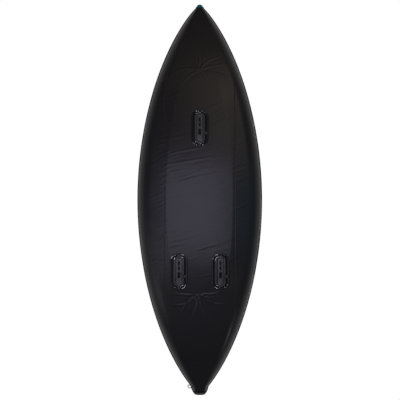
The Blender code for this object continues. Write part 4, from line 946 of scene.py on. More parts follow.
def refined(node, key, width, body):
    """The CAD node's own shape with its hard edges rounded off."""
    bm = bmesh.new()
    bm.from_mesh(frame["nodes"][node].data)
    bmesh.ops.remove_doubles(bm, verts=bm.verts, dist=1e-6)
    bmesh.ops.dissolve_limit(bm, angle_limit=math.radians(2), verts=bm.verts, edges=bm.edges)
    hard = [e for e in bm.edges if e.is_manifold and e.calc_face_angle(0) > math.radians(40)]
    bmesh.ops.bevel(bm, geom=hard, offset=width, segments=2, affect="EDGES", clamp_overlap=True)
    finish(from_bmesh(f"{node}_shell", bm, key, sharp=30), body, SLOTS[node], node)


# ---------------------------------------------------------------- bladders, tips and the side loop


def make_bladders():
    """The air bladders inside the tube covers."""
    for name, side in SIDES:

        def place(k, degrees):
            share = math.sin(math.pi / 2 * (2 * k / 96 - 1))
            y = BLADDER_SHARE * HALF_LENGTH * share
            values = section(y)
            size = math.sqrt(max(0.0004, 1 - abs(share) ** 60))
            angle = math.radians(degrees)
            x = values[4] + (values[1] - BLADDER_GAP) * size * math.cos(angle)
            return side * x, y, values[5] + (values[2] - BLADDER_GAP) * size * math.sin(angle)

        piece = from_grid(
            f"{name}_bladder", grid_of(range(97), range(0, 360, 12), place), "bladder", wrap=True, flip=side > 0
        )
        drill(piece, name, "bladder")
        finish(piece, "hull", "air_chamber", f"{name}_tube_chamber")


def make_tips():
    """Moulded nose and tail caps, rounded off towards their ends, each with a binding round its mouth."""
    start = TIP_Y - 0.007
    for name, sign, ends, key, slot in (
        ("bow", -1, (0.0325, 0.031, 0.027, 0.021, 0.013), "teal_tip", "tube_cover"),
        ("stern", 1, (0.058, 0.056, 0.052, 0.046, 0.037), "trim", "piping"),
    ):
        values = section(sign * TIP_Y)
        middle, full = values[5], values[2] + 0.0068

        def place(k, step):
            along = math.sin(math.pi / 2 * k / 24)
            shrink = math.sqrt(max(0.0002, 1 - (k / 24) ** 9))
            half_x = np.interp(along, (0, 0.25, 0.5, 0.8, 1), ends) * shrink
            half_z = np.interp(along, (0, 0.3, 0.75, 1), (full, full - 0.004, 0.75 * full, 0.58 * full)) * shrink
            power = 0.5 + 0.3 * along
            c, s = math.cos(2 * math.pi * step / 56), math.sin(2 * math.pi * step / 56)
            x, z = half_x * math.copysign(abs(c) ** power, c), half_z * math.copysign(abs(s) ** power, s)
            return x, sign * (start + (HALF_LENGTH - 0.0005 - start) * along), middle + z

        grid = grid_of(range(25), range(56), place)
        cuff = [(1.012 * x, y, middle + 1.012 * (z - middle)) for x, y, z in grid[3]]
        finish(rods(f"{name}_tip_binding", [cuff], 0.0018, key, cyclic=True, resolution=2), "hull", slot)
        piece = from_grid(f"{name}_tip_moulding", grid, key, wrap=True, flip=sign < 0)
        with editing(piece.data) as bm:
            pole = [e for e in bm.edges if e.is_boundary and abs(e.verts[0].co.y) > HALF_LENGTH - 0.002]
            bmesh.ops.holes_fill(bm, edges=pole, sides=len(pole))
        finish(piece, "hull", slot, f"{name}_tip_cap")


def make_tail():
    """The webbing edge across the tail's end and the cover's teal fold beside it."""
    middle = section(TIP_Y)[5]
    turns = [math.pi * (k / 12 - 0.5) for k in range(13)]
    path = [(-0.003 + 0.037 * math.sin(a), 1.6085 + 0.012 * math.cos(a), middle - 0.012) for a in turns]
    tangents = [np.subtract(b, a) for a, b in zip(path[:1] + path[:-1], path[1:] + path[-1:])]
    outs = [Vector((t[1], -t[0], 0)).normalized() for t in tangents]
    edge = swept("tail_webbing", path, [(0, 0, 1)] * 13, outs, [flat_profile(0.011, 0.0011)] * 13, "web")
    finish(edge, "hull", "webbing")

    def place(k, i):
        t, u = k / 8, i / 8
        bulge = 0.007 * math.sin(math.pi * t) * math.sin(math.pi * u)
        return -0.053 - 0.006 * u - bulge + 0.006 * t * t, 1.586 + 0.0245 * t, middle - 0.026 + 0.05 * u

    fold = from_grid("tail_cover_fold", grid_of(range(9), range(9), place), "teal_tip", CLOTH, offset=0)
    finish(fold, "hull", "tube_cover")


def make_side_loop():
    """A flat webbing ring on a tab that is sewn to the bilge beside the tail."""
    y, radius, band, thick = 0.9528 * HALF_LENGTH, 0.0155, 0.0035, 0.0024

    def bilge(row, degrees, offset=0.0024):
        x, z = tube_point(section(row), degrees, offset)
        return -x, row, z

    feet = [Vector(bilge(row, -24, 0.003)) for row in (y - 0.009, y + 0.009)]
    along = (feet[1] - feet[0]).normalized()
    rise = math.radians(35)
    up = Vector((math.sin(rise), 0, math.cos(rise))).cross(along).cross(-along).normalized()
    out = up.cross(along)
    centre = (feet[0] + feet[1]) / 2 + out * (radius + band - thick / 2)
    spokes = [out * math.cos(2 * math.pi * k / 40) + along * math.sin(2 * math.pi * k / 40) for k in range(40)]
    centres = [centre + spoke * radius for spoke in spokes]
    profiles = [flat_profile(band, thick / 2)] * 40
    ring = swept("stern_side_ring", centres, spokes, [up] * 40, profiles, "web", closed=True)
    finish(ring, "hull", "webbing", "stern_side_loop")
    rows = [y - 0.009 + 0.018 * k / 6 for k in range(7)]
    tab = from_grid("stern_side_loop_tab", grid_of(rows, range(-23, -52, -2), bilge), "web", PATCH, flip=True)
    finish(tab, "hull", "webbing")


# ---------------------------------------------------------------- fin boxes

# The surface as rounded loops, by how much longer than wide each is: (half width, corner, height, facet)
FIN_LOOPS = (
    (0.0755, (
        (0.0700, 0.0590, -0.0004, 0), (0.0710, 0.0600, 0.0004, 0), (0.0710, 0.0600, 0.0026, 0),
        (0.0704, 0.0594, 0.0034, 0), (0.0688, 0.0578, 0.0036, 0), (0.0682, 0.0572, 0.0042, 0),
        (0.0680, 0.0570, 0.0062, 0), (0.0674, 0.0564, 0.0069, 0), (0.0646, 0.0536, 0.0084, 0),
        (0.0636, 0.0526, 0.0084, 0), (0.0608, 0.0498, 0.0069, 0), (0.0602, 0.0492, 0.0062, 0),
        (0.0599, 0.0489, 0.0040, 0.2), (0.0592, 0.0482, 0.0035, 0.4),
    )),
    (0.0785, (
        (0.0490, 0.0330, 0.0035, 1), (0.0474, 0.0308, 0.0039, 1), (0.0465, 0.0302, 0.0050, 1),
        (0.0450, 0.0295, 0.0100, 1), (0.0445, 0.0292, 0.0106, 1), (0.0407, 0.0270, 0.0124, 1),
        (0.0400, 0.0266, 0.0125, 1),
    )),
    (0.0815, (
        (0.0262, 0.0040, 0.0125, 0), (0.0257, 0.0036, 0.0122, 0), (0.0254, 0.0034, 0.0098, 0),
        (0.0250, 0.0031, 0.0095, 0), (0.0229, 0.0033, 0.0095, 0), (0.0225, 0.0030, 0.0099, 0),
        (0.0225, 0.0030, 0.0133, 0), (0.0222, 0.0027, 0.0138, 0), (0.0216, 0.0022, 0.0140, 0),
    )),
)
FIN_CUTS = (
    ("mouth", (-0.0075, -0.092, -0.02), (0.0075, 0.03, -0.0035)),
    ("cavity", (-0.0105, -0.092, -0.0085), (0.0105, 0.03, -0.0035)),
    ("pocket", (-0.0105, 0.008, -0.02), (0.0105, 0.052, -0.0015)),
    ("bore", (0, 0.0366, -0.0101), (0.0465, 0.0434, -0.0041)),
    ("seat", (0.0325, 0.0285, -0.02), (0.0505, 0.0515, -0.0041)),
)
# The boss and its rails as half width and half length, and where the boss's inner step begins
FIN_BOSS = (0.0478, 0.1263)
FIN_RAIL = (0.0232, 0.1046)
FIN_STEP_X = 0.0262
FIN_RUNGS = ((-0.086, 0.011), (-0.047, 0.014), (-0.003, 0.02))


def fin_mesh():
    """One fin box about its own middle, its height pointing down, with channel, pocket and lock seat cut."""
    rings = []
    for longer, loops in FIN_LOOPS:
        for half, corner, height, facet in loops:
            rings.append([(x, y, -height) for x, y in rounded_outline(half, half + longer, corner, facet)])
    body = from_bmesh("fin_pattern", skinned(rings), "fin")
    cutters = []
    for name, low, high in FIN_CUTS:
        bm = bmesh.new()
        add_block(bm, [(a + b) / 2 for a, b in zip(low, high)], np.subtract(high, low))
        cutters.append(from_bmesh(name, bm, "fin"))
    cut(body, cutters)
    mesh = body.data
    with editing(mesh) as bm:
        bmesh.ops.remove_doubles(bm, verts=bm.verts, dist=1e-6)
        for middle, wide in FIN_RUNGS:
            add_block(bm, (0, middle, -0.0043), (0.0206, wide, 0.002), 0.0007)
    mesh.shade_smooth()
    mesh.set_sharp_from_angle(angle=math.radians(32))
    # The moulding in several tones: the flange, the trough and the channel's walls take the darker, duller finish as
    # painted shade; the lip is glossy black, the boss grey, and its raised rails and the channel's rungs lighter.
    for key in ("fin_dark", "fin_face", "fin_rail"):
        mesh.materials.append(MATERIALS[key])
    for face in mesh.polygons:
        x, y, z = abs(face.center.x), abs(face.center.y), -face.center.z
        boss = x < FIN_BOSS[0] and y < FIN_BOSS[1]
        if boss and z > 0.0124:
            face.material_index = 3 if x < FIN_RAIL[0] and y < FIN_RAIL[1] else 2
        elif x < 0.0104 and 0.0036 < z < 0.0056 and abs(face.normal.x) < 0.5:
            face.material_index = 3
        elif boss and z > 0.0045 and x > FIN_STEP_X:
            face.material_index = 0
        elif z < 0.0040 or x < FIN_STEP_X:
            face.material_index = 1
    bpy.data.objects.remove(body)
    return mesh


def make_fin_boxes():
    """The fin boxes with their locks, and small lamps that only their glossy lips see."""
    mesh = fin_mesh()
    boxes = bpy.data.collections.new("fin_glint_receivers")
    for name, (x, y) in FIN_PLACES.items():
        obj = new_object(f"fin_box_{name}_moulding", mesh, Matrix.Translation((x, y, FIN_RISE)))
        finish(obj, "hull", "fin_moulding", f"fin_box_{name}")
        boxes.objects.link(obj)
        refined(f"fin_latch_{name}", "latch", 0.0004, f"latch_{name}")
    for k, place in enumerate(((-0.06, -1.25, -0.45), (0.02, 0.0, -0.45), (0, 1.2, -0.45), (-0.75, 0.2, -0.5))):
        lamp = make_lamp(f"fin_glint_{k}", place, (*place[:2], 0), (0.34, 0.34), 6.0, (0.92, 0.96, 1.1), diffuse=False)
        lamp.light_linking.receiver_collection = boxes


# ---------------------------------------------------------------- valves

# Each turned shape as (radius, height) points
BARREL = (
    (0.0185, -0.022), (0.0185, -0.0005), (0.0256, -0.0003), (0.026, 0.0003), (0.026, 0.0018), (0.0249, 0.0029),
    (0.0215, 0.003), (0.018, 0.0034), (0.0175, 0.0045),
    *((r, 0.005 + k * 0.0018 + z) for k in range(3)
      for r, z in ((0.0174, 0), (0.0179, 0.0006), (0.0179, 0.001), (0.0174, 0.0015))),
    (0.0174, 0.0105), (0.017, 0.011), (0.0125, 0.011), (0.012, 0.0105), (0.012, -0.001),
    (0.0028, -0.001), (0.0027, -0.004), (0.012, -0.004), (0.012, -0.0215), (0.0185, -0.022),
)
POPPET = (
    (0, -0.007), (0.0018, -0.007), (0.0022, -0.0065), (0.0022, 0.0034), (0.0038, 0.004),
    (0.004, 0.0045), (0.0038, 0.0053), (0.0018, 0.0055), (0, 0.0054),
)
LID = (
    (0, 0.0113), (0.0192, 0.0113), (0.0205, 0.0118), (0.021, 0.0125), (0.021, 0.0151), (0.0205, 0.0159),
    (0.0195, 0.0163), (0.0178, 0.0162), (0.017, 0.0158), (0.0085, 0.0158), (0, 0.016),
)


def make_valves():
    """Air valves: threaded bodies, sprung pins and turning caps with a knurled rim and a grip."""
    for name, place in VALVES.items():
        barrel = revolve(f"{name}_valve_barrel", BARREL, "nylon", place)
        finish(barrel, "hull", "valve_nylon", f"{name}_valve_body")
        poppet = revolve(f"{name}_valve_poppet", POPPET, "pin", place, 28)
        finish(poppet, f"pin_{name}", "pin_nylon", f"{name}_valve_pin")
        lid = revolve(f"{name}_valve_lid", LID, "nylon", place, 72)
        for vert in lid.data.vertices:
            x, y, z = vert.co
            if math.hypot(x, y) > 0.0202 and 0.012 < z < 0.0157:
                swing = 1 - 0.018 * (0.5 + 0.5 * math.cos(24 * math.atan2(y, x)))
                vert.co.x, vert.co.y = x * swing, y * swing
        finish(lid, f"cap_{name}", "valve_nylon", f"{name}_valve_cap")
        bm = bmesh.new()
        add_block(bm, (0, 0, 0.018), (0.0355, 0.005, 0.0066), 0.0012, 3)
        grip = from_bmesh(f"{name}_valve_lid_grip", bm, "nylon", Matrix.Translation(place))
        finish(grip, f"cap_{name}", "valve_nylon")


# ---------------------------------------------------------------- padded seats


def pad_grid(columns, rows, wall, place):
    """A closed pad's points and faces: a top grid, a bottom grid and rings of wall between their rims."""
    points, faces, grids = [], [], {}

    def spot(j, i, w):
        points.append(place(2 * i / columns - 1, 2 * j / rows - 1, w))
        return len(points) - 1

    for w in (1, -1):
        index = grids[w] = np.array([[spot(j, i, w) for i in range(columns + 1)] for j in range(rows + 1)])
        for j in range(rows):
            for i in range(columns):
                faces.append((index[j, i], index[j, i + 1], index[j + 1, i + 1], index[j + 1, i])[::w])
    rim = [(0, i) for i in range(columns)] + [(j, columns) for j in range(rows)]
    rim += [(rows, i) for i in range(columns, 0, -1)] + [(j, 0) for j in range(rows, 0, -1)]
    rings = [[grids[1][ji] for ji in rim]]
    rings += [[spot(j, i, 1 - 2 * step / wall) for j, i in rim] for step in range(1, wall)]
    rings.append([grids[-1][ji] for ji in rim])
    for first, second in zip(rings, rings[1:]):
        for k in range(len(rim)):
            n = (k + 1) % len(rim)
            faces.append((first[n], first[k], second[k], second[n]))
    return np.array(points, float), faces, grids, rings


def pad_mesh(name, points, faces):
    mesh = bpy.data.meshes.new(name)
    mesh.from_pydata(points.tolist(), [], faces)
    with editing(mesh) as bm:
        bmesh.ops.recalc_face_normals(bm, faces=bm.faces)
    return mesh


def inflated(points, faces, pinned, cap, pressure=4.0):
    """The points after the closed skin has swelled under air pressure, none further than cap."""
    scene = bpy.context.scene
    obj = new_object("pad_pattern", pad_mesh("pad_pattern", points, faces))
    obj.vertex_groups.new(name="sewn").add([int(i) for i in pinned], 1.0, "REPLACE")
    cloth_modifier = obj.modifiers.new("Cloth", "CLOTH")
    for key, value in {
        "quality": 6, "mass": 0.2, "tension_stiffness": 12, "compression_stiffness": 12, "shear_stiffness": 6,
        "bending_stiffness": 0.3, "use_pressure": True, "uniform_pressure_force": pressure, "shrink_min": -0.035,
        "vertex_group_mass": "sewn",
    }.items():
        setattr(cloth_modifier.settings, key, value)
    cloth_modifier.settings.effector_weights.gravity = 0
    cloth_modifier.point_cache.frame_start = 1
    cloth_modifier.point_cache.frame_end = PAD_FRAMES
    for step in range(1, PAD_FRAMES + 1):
        scene.frame_set(step)
    after = evaluated_mesh(obj)
    moved = np.empty(len(after.vertices) * 3, np.float32)
    after.vertices.foreach_get("co", moved)
    scene.frame_set(1)
    bpy.data.objects.remove(obj)
    shift = moved.reshape(-1, 3).astype(float) - points
    length = np.linalg.norm(shift, axis=1, keepdims=True) + 1e-12
    return points + shift * np.minimum(1, cap / length)


def make_pad(name, points, faces, matrix, body, node):
    mesh = pad_mesh(name, points, faces)
    box_uv(mesh)
    mesh.materials.append(MATERIALS["seat"])
    mesh.shade_smooth()
    piece = new_object(name, mesh, matrix)
    smooth = piece.modifiers.new("Smooth skin", "SUBSURF")
    smooth.levels = smooth.render_levels = 1
    finish(piece, body, "seat_cloth", node)


def pipe_pad(name, points, rings, matrix, body, radius=0.0026):
    """Piping along a pad's sewn edges."""
    for k, ring in enumerate(rings):
        path = [tuple(points[i]) for i in ring]
        piece = rods(f"{name}_piping_{k}", [path], radius, "trim", matrix, cyclic=True, resolution=3)
        finish(piece, body, "seat_cloth")


def swell(u, v, power):
    return (1 - abs(u) ** power) * (1 - abs(v) ** power)


def groove(value, lines, width):
    return math.exp(-((min(abs(value - line) for line in lines) / width) ** 2))


def channel_line(points, window, offset):
    """Where the subdivided skin passes the places of its grid named by window, moved by an offset."""
    weights = (np.array([[1, 4, 1], [4, 16, 4], [1, 4, 1]]) / 36)[..., None]
    return [(points[near] * weights).sum(axis=(0, 1)) + offset for near in window]


def seat_base_shape():
    channels = (10, 20, 30)

    def place(u, v, w):
        x = SEAT_HALF * u * math.sqrt(1 - 0.18 * v * v)
        along = SEAT_LENGTH / 2 * (1 + v * math.sqrt(1 - 0.12 * u * u))
        rim = 0.023
        if w == -1:
            return x, along, 0.0
        if w == 1:
            crown = swell(u, v, 5)
            drawn = 0.012 * groove(along, [SEAT_LENGTH * share for share in (0.25, 0.5, 0.75)], 0.014) * crown
            return x, along, rim + 0.021 * crown - drawn
        bulge = 0.005 * (1 - w * w)
        return x + bulge * u * abs(u) ** 3, along + bulge * v * abs(v) ** 3, rim * (1 + w) / 2

    points, faces, grids, rings = pad_grid(44, 40, 4, place)
    pinned = set(grids[-1].ravel()) | set(rings[0]) | {int(i) for row in channels for i in grids[1][row, 2:-2]}
    moved = inflated(points, faces, sorted(pinned), cap=0.009)
    moved[:, 2] = np.clip(moved[:, 2], 0, 0.0515)
    top = grids[1]
    lines = [
        channel_line(moved, [top[row - 1 : row + 2, k - 1 : k + 2] for k in range(3, 42)], (0, 0, 0.0006))
        for row in channels
    ]
    return moved, faces, rings, lines


def seat_back_shape():
    channels = (12, 24, 36)

    def place(u, v, w):
        x = SEAT_HALF * u * math.sqrt(1 - 0.3 * v * v)
        along = BACK_HEIGHT / 2 * (1 + v * math.sqrt(1 - 0.2 * u * u))
        taper = 0.86 + 0.14 * smooth_step(along / BACK_HEIGHT * 1.5)
        rise = smooth_step((v + 1) * 1.6)
        crown = swell(u, max(v, 0), 4)
        thick = BACK_FOOT + (0.02 - BACK_FOOT) * rise * crown
        thick -= 0.006 * groove(u, (-0.5, 0, 0.5), 0.07) * crown * rise
        bend = -BACK_WRAP * (x / SEAT_HALF) ** 2 * smooth_step(along / BACK_HEIGHT * 2)
        bulge = BACK_FOOT * (1 - w * w)
        return (x + bulge * u * abs(u) ** 3) * taper, bend + w * thick, along + bulge * v * abs(v) ** 3

    points, faces, grids, rings = pad_grid(48, 48, 4, place)
    pinned = set(rings[0]) | set(rings[-1])
    pinned |= {int(i) for w in (1, -1) for column in channels for i in grids[w][7:-3, column]}
    pinned |= {int(i) for ring in rings for i in ring if points[i][2] < 0.03}
    pinned |= {int(i) for w in (1, -1) for i in grids[w][:5].ravel()}
    moved = inflated(points, faces, sorted(pinned), cap=0.0075)
    lines = [
        channel_line(moved, [grids[w][k - 1 : k + 2, at - 1 : at + 2] for k in range(8, 45)], (0, 0.0006 * w, 0))
        for w in (1, -1) for at in channels
    ]
    return moved, faces, rings, lines


def rear_line(points):
    """The rear face of the backrest along its band: how far back it reaches at each x."""
    near = points[np.abs(points[:, 2] - BAND_Z) < BAND_HALF + 0.006]
    places = np.linspace(-0.186, 0.186, 49)
    reach = []
    for x in places:
        side = near[np.abs(near[:, 0] - x) < 0.011]
        reach.append(side[:, 1].max() if len(side) else np.nan)
    reach = np.array(reach)
    known = ~np.isnan(reach)
    reach = np.interp(places, places[known], reach[known])
    padded = np.concatenate([[reach[0]] * 2, reach, [reach[-1]] * 2])
    return zip(places, np.maximum(reach, np.convolve(padded, np.ones(5) / 5, "valid")))


def make_seats():
    base, back = seat_base_shape(), seat_back_shape()
    for name, hinge_y in SEATS.items():
        body = f"{name}_backrest"
        seat = Matrix.Translation((0, hinge_y - SEAT_SETBACK - SEAT_LENGTH, slab_top(0) + GAP))
        lean = Matrix.Translation((0, hinge_y, HINGE_Z)) @ Matrix.Rotation(math.radians(-BACK_LEAN_DEG), 4, "X")
        for part, node, carrier, matrix, (points, faces, rings, lines) in (
            ("seat", "base", "hull", seat, base), ("back", "back", body, lean, back)
        ):
            pad = f"{name}_{part}_pad"
            make_pad(pad, points, faces, matrix, carrier, f"{name}_seat_{node}")
            pipe_pad(pad, points, [rings[0], rings[-1]], matrix, carrier)
            stitches(f"{pad}_stitches", lines, carrier, "seat_cloth", matrix)
        path = [lean @ Vector((x, y + 0.0018, BAND_Z)) for x, y in rear_line(back[0])]
        up = lean.to_3x3() @ Vector((0, 0, 1))
        outs = [(b - a).cross(up).normalized() for a, b in zip(path, path[1:])]
        profiles = [flat_profile(BAND_HALF, WEB)] * len(path)
        band = swept(f"{name}_back_webbing", path, [up] * len(path), outs + outs[-1:], profiles, "web")
        finish(band, body, "webbing", f"{name}_back_band")
        for side_name, side in SIDES:
            upper = lean @ Vector((side * STRAP_END_X, STRAP_END_Y, BAND_Z))
            make_strap(f"{name}_{side_name}", side, hinge_y - STRAP_REACH, upper)


def make_strap(prefix, side, anchor_y, upper):
    """A side strap from its anchor on the tube to the backrest, with its buckle, its tab and the anchor."""
    lower = Vector((side * section(anchor_y)[4], anchor_y, top_z(anchor_y) + ANCHOR_RISE))
    along = (upper - lower).normalized()
    out = along.cross(Vector((0, 0, 1))).normalized()
    across = out.cross(along)
    length = (upper - lower).length
    path = []
    for k in range(41):
        share = k / 40
        sag = Vector((0, 0, -STRAP_SAG)) * 4 * share * (1 - share)
        path.append(lower + along * (STRAP_HALF + (length - STRAP_HALF) * share) + sag)
    profiles = [flat_profile(STRAP_HALF, WEB)] * 41
    strap = swept(f"{prefix}_webbing", path, [across] * 41, [out] * 41, profiles, "web")
    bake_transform(strap)
    finish(strap, None, "webbing", f"{prefix}_strap")
    refined(f"{prefix}_buckle", "nylon", 0.0007, "hull")

    def place(k, i):
        v, u = 2 * k / 16 - 1, 2 * i / 12 - 1
        y = anchor_y + 0.035 * v * math.sqrt(1 - 0.2 * u * u)
        x, z = tube_point(section(y), 90 + 15 * u * math.sqrt(1 - 0.2 * v * v), PATCH_LIFT)
        return side * x, y, z

    patch = from_grid(f"{prefix}_anchor_patch", grid_of(range(17), range(13), place), "patch", PATCH, flip=side < 0)
    finish(patch, "hull", "patch", f"{prefix}_anchor")
    top = lower.z + 0.0105
    base = top_z(anchor_y) + 0.0015
    path = [(0.0062, base), (0.0045, base + 0.0035)]
    path += [(0.0032, base + (top - base) * share) for share in (0.35, 0.6, 0.8)]
    path += [(0.0032 * math.cos(a), top + 0.0022 * math.sin(a)) for a in np.linspace(0, math.pi, 7)]
    path += [(-x, z) for x, z in path[4::-1]]
    grid = []
    for dx, z in path:
        wide = 0.012 - 0.0045 * smooth_step((z - base) / (top - base))
        grid.append([(lower.x + dx, anchor_y + wide * k / 4, z) for k in range(-4, 5)])
    finish(from_grid(f"{prefix}_anchor_tab", grid, "web", 0.0014, offset=0), "hull", "webbing")


def make_footrests():
    """Inflated bolsters across the floor, with piped end panels."""
    radius, sides, steps = BOLSTER_RADIUS, 44, 30
    for name, y, half in (("front", -0.8, 0.125), ("rear", 0.13, 0.165)):
        centre = Matrix.Translation((0, y, slab_top(y) + GAP + radius))
        turns = [math.pi / 2 * k / 6 for k in range(7)]
        stations = [(radius * (0.02 + 0.8 * math.sin(a)), -half + 0.006 * (1 - math.cos(a))) for a in turns]
        stations += [(radius * 0.9, -half + 0.013), (radius * 0.94, -half + 0.022)]
        middle = [(radius * 0.94, -half + 0.022 + (2 * half - 0.044) * k / steps) for k in range(1, steps)]
        stations = stations + middle + [(r, -x) for r, x in stations[::-1]]
        points = np.array([(x, a, max(b, -radius)) for r, x in stations for a, b in circle(r, sides)])
        faces = []
        for a in range(0, len(points) - sides, sides):
            for k in range(sides):
                n = (k + 1) % sides
                faces.append((a + k, a + n, a + sides + n, a + sides + k))
        faces.append(tuple(range(sides)))
        faces.append(tuple(range(len(points) - sides, len(points))))
        rings = [[s * sides + k for k in range(sides)] for s in (7, len(stations) - 8)]
        moved = inflated(points, faces, rings[0] + rings[1], cap=0.004, pressure=5.0)
        moved[:, 2] = np.maximum(moved[:, 2], -radius)
        pad, body = f"{name}_bolster_pad", f"{name}_bolster"
        make_pad(pad, moved, faces, centre, body, f"{name}_footrest")
        pipe_pad(pad, moved, rings, centre, body, 0.0024)


# ---------------------------------------------------------------- handles and rings on the decks


def make_loops():
    joints = {joint["name"]: joint for joint in frame["record"]["behaviour"]["joints"]}
    for end, facing in (("bow", math.pi), ("stern", 0)):
        for kind, half, depth, thick, corner, sleeve, radius, key in (
            ("handle", 0.055, 0.06, 0.006, 0.016, 0.03, 0.0047, "web"),
            ("ring", 0.019, 0.032, 0.0025, 0.009, 0.011, 0.0025, "steel"),
        ):
            prefix = f"{end}_{kind}"
            axis = Vector(joints[f"{prefix}_swing"]["pos_m"])
            reach = thick + LOOP_PLAY + 0.002 + 0.014
            slope = (deck_height(axis.y + reach, 0) - deck_height(axis.y - reach, 0)) / (2 * reach)
            tilt = Matrix.Rotation(math.atan(slope), 4, "X")
            matrix = Matrix.Translation(axis) @ tilt @ Matrix.Rotation(facing, 4, "Z")
            points = [(x, y + depth / 2, 0) for x, y in rounded_outline(half, depth / 2, corner)]
            path = resample(points + points[:1], 81)[:-1]
            loop = rods(f"{prefix}_rod", [path], radius, key, matrix, cyclic=True, resolution=5)
            finish(loop, prefix, SLOTS[f"{prefix}_loop"], f"{prefix}_loop")
            if kind == "handle":
                centres, profiles = [], []
                for k in range(97):
                    edge = smooth_step(k / 4) * smooth_step((96 - k) / 4)
                    rib = 0.5 + 0.5 * math.cos(2 * math.pi * k / 8)
                    centres.append(matrix @ Vector((-0.037 + 0.074 * k / 96, depth, 0)))
                    profiles.append(circle(0.0048 + edge * (0.0007 + 0.0007 * rib), 20))
                side, up = (matrix.to_3x3() @ Vector(way) for way in ((0, 1, 0), (0, 0, 1)))
                grip = swept(f"{end}_handle_grip", centres, [side] * 97, [up] * 97, profiles, "rubber")
                finish(grip, prefix, "grip_rubber")
            make_sleeve(prefix, axis, reach, thick, sleeve)


def make_sleeve(prefix, axis, reach, thick, sleeve):
    """The welded patch under a loop and the webbing sleeve that its near bar turns in."""

    def place(k, i):
        v, u = 2 * k / 16 - 1, 2 * i / 20 - 1
        x = (sleeve + 0.014) * u * math.sqrt(1 - 0.12 * v * v)
        y = axis.y + reach * v * math.sqrt(1 - 0.12 * u**6)
        return x, y, deck_height(y, abs(x)) + PATCH_LIFT

    patch = from_grid(f"{prefix}_base", grid_of(range(17), range(21), place), "patch", PATCH, flip=True)
    finish(patch, "hull", "patch", f"{prefix}_patch")
    radius = thick + LOOP_PLAY + WEB
    path = [(-reach + 0.004, None), (-radius - 0.004, None)]
    path += [(radius * math.cos(a), radius * math.sin(a)) for a in np.linspace(math.pi * 1.05, -math.pi * 0.05, 17)]
    path += [(radius + 0.004, None), (reach - 0.004, None)]
    grid = []
    for dy, dz in path:
        y = axis.y + dy
        z = deck_height(y, 0) + 0.0034 if dz is None else axis.z + dz
        grid.append([(sleeve * k / 6, y, z) for k in range(-6, 7)])
    finish(from_grid(f"{prefix}_sleeve", grid, "web", PATCH, offset=0), "hull", "patch")


# ---------------------------------------------------------------- stage, light and camera


def make_stage():
    """A pale floor that shows only from above and casts nothing."""
    bm = bmesh.new()
    corners = ((-1, -1), (1, -1), (1, 1), (-1, 1))
    bm.faces.new([bm.verts.new((x * STAGE_HALF, y * STAGE_HALF, -0.0005)) for x, y in corners])
    MATERIALS["stage"] = bpy.data.materials.new("pale_floor")
    nodes = Nodes(MATERIALS["stage"], "OutputMaterial")
    paint = nodes.add("BsdfDiffuse", {"Color": (0.86, 0.86, 0.86)}).outputs[0]
    behind = nodes.add("NewGeometry").outputs["Backfacing"]
    clear = nodes.add("BsdfTransparent").outputs[0]
    nodes.feed(nodes.surface, nodes.add("MixShader", {"Fac": behind, 1: paint, 2: clear}).outputs[0])
    floor = from_bmesh("studio_floor", bm, "stage")
    for ray in ("shadow", "glossy", "diffuse", "transmission"):
        setattr(floor, f"visible_{ray}", False)


def make_world():
    world = bpy.context.scene.world = bpy.data.worlds.new("studio")
    nodes = Nodes(world, "OutputWorld")
    height = nodes.split(nodes.add("TexCoord").outputs["Generated"])["Z"]
    ramp = nodes.add("ValToRGB", {"Fac": nodes.span(height, -1.0, 1.0, "From")})
    stops = ((0.0, 0.16), (0.06, 0.1), (0.35, 0.09), (0.45, 0.2), (0.52, 0.36), (1.0, 0.42))
    elements = ramp.color_ramp.elements
    while len(elements) < len(stops):
        elements.new(0.5)
    for element, (place, level) in zip(elements, stops):
        element.position = place
        element.color = (level, level, level, 1)
    path = nodes.add("LightPath").outputs
    soft = nodes.mix(nodes.span(height, -0.3, 0.3, "From"), (0.23, 0.215, 0.275), (0.62, 0.62, 0.63))
    seen = nodes.mix(path["Is Glossy Ray"], soft, ramp.outputs["Color"])
    for ray in ("Is Camera Ray", "Is Transmission Ray"):
        seen = nodes.mix(path[ray], seen, (1.0, 1.0, 1.0))
    nodes.feed(nodes.surface, nodes.add("Background", {"Strength": 1.0, "Color": seen}).outputs[0])


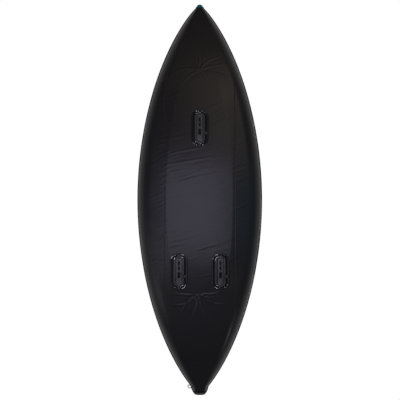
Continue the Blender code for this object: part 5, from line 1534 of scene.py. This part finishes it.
def make_lamp(name, place, target, size, power, colour=(1, 1, 1), gloss=True, diffuse=True):
    light = bpy.data.lights.new(name, "AREA")
    light.color = colour
    light.shape = "RECTANGLE"
    light.size, light.size_y = size
    light.energy = power
    lamp = new_object(name, light)
    lamp.location = place
    lamp.rotation_euler = (Vector(target) - Vector(place)).to_track_quat("-Z", "Y").to_euler()
    lamp.visible_camera = False
    lamp.visible_glossy = gloss
    lamp.visible_diffuse = diffuse
    return lamp


def make_camera():
    camera = bpy.data.cameras.new("photo_camera")
    camera.lens = LENS
    camera.sensor_width = SENSOR
    camera.clip_end = 100
    obj = new_object("photo_camera", camera)
    middle = [(FRAME_PX / 2 - centre) * PIXEL for centre in CENTRE_PX]
    obj.location = (*middle, OUTLINE_Z - FRAME_PX * PIXEL * LENS / SENSOR)
    obj.rotation_euler = (math.pi, 0, 0)
    bpy.context.scene.camera = obj


def make_studio():
    make_camera()
    make_world()
    make_stage()
    make_lamp("under_key", (-0.11, 0.1, -0.6), (-0.11, 0.1, 0), (0.78, 0.85), 1.75, (0.93, 0.9, 1.12))
    make_lamp("under_bow", (0.55, -1.08, -1.3), (0.45, -1.08, 0), (1.45, 0.9), 1.8, (1.12, 0.96, 0.8))
    make_lamp("under_left", (-1.3, 1.0, -1.1), (-0.3, 0.9, 0.1), (1.0, 1.7), 2.6, (1.0, 0.96, 1.04))
    make_lamp("under_stern", (1.4, 2.2, -1.2), (0.1, 0.6, 0), (0.3, 0.3), 1.6)
    make_lamp("top_key", (2.6, -2.4, 4.0), (0, 0, 0.2), (2.5, 2.5), 190, gloss=False)
    make_lamp("top_fill", (-3.2, 2.2, 3.4), (0, 0, 0.2), (3.0, 3.0), 90, gloss=False)
    make_lamp("top_gloss", (0, 0, 5.0), (0, 0, 0), (1.0, 2.0), 90, diffuse=False)
    bpy.context.scene.view_settings.view_transform = "Standard"


for step in (
    make_studio, make_materials, make_bottom, make_covers, make_floor, make_decks, make_bladders, make_tips,
    make_tail, make_side_loop, make_fin_boxes, make_valves, make_seats, make_footrests, make_loops,
):
    step()
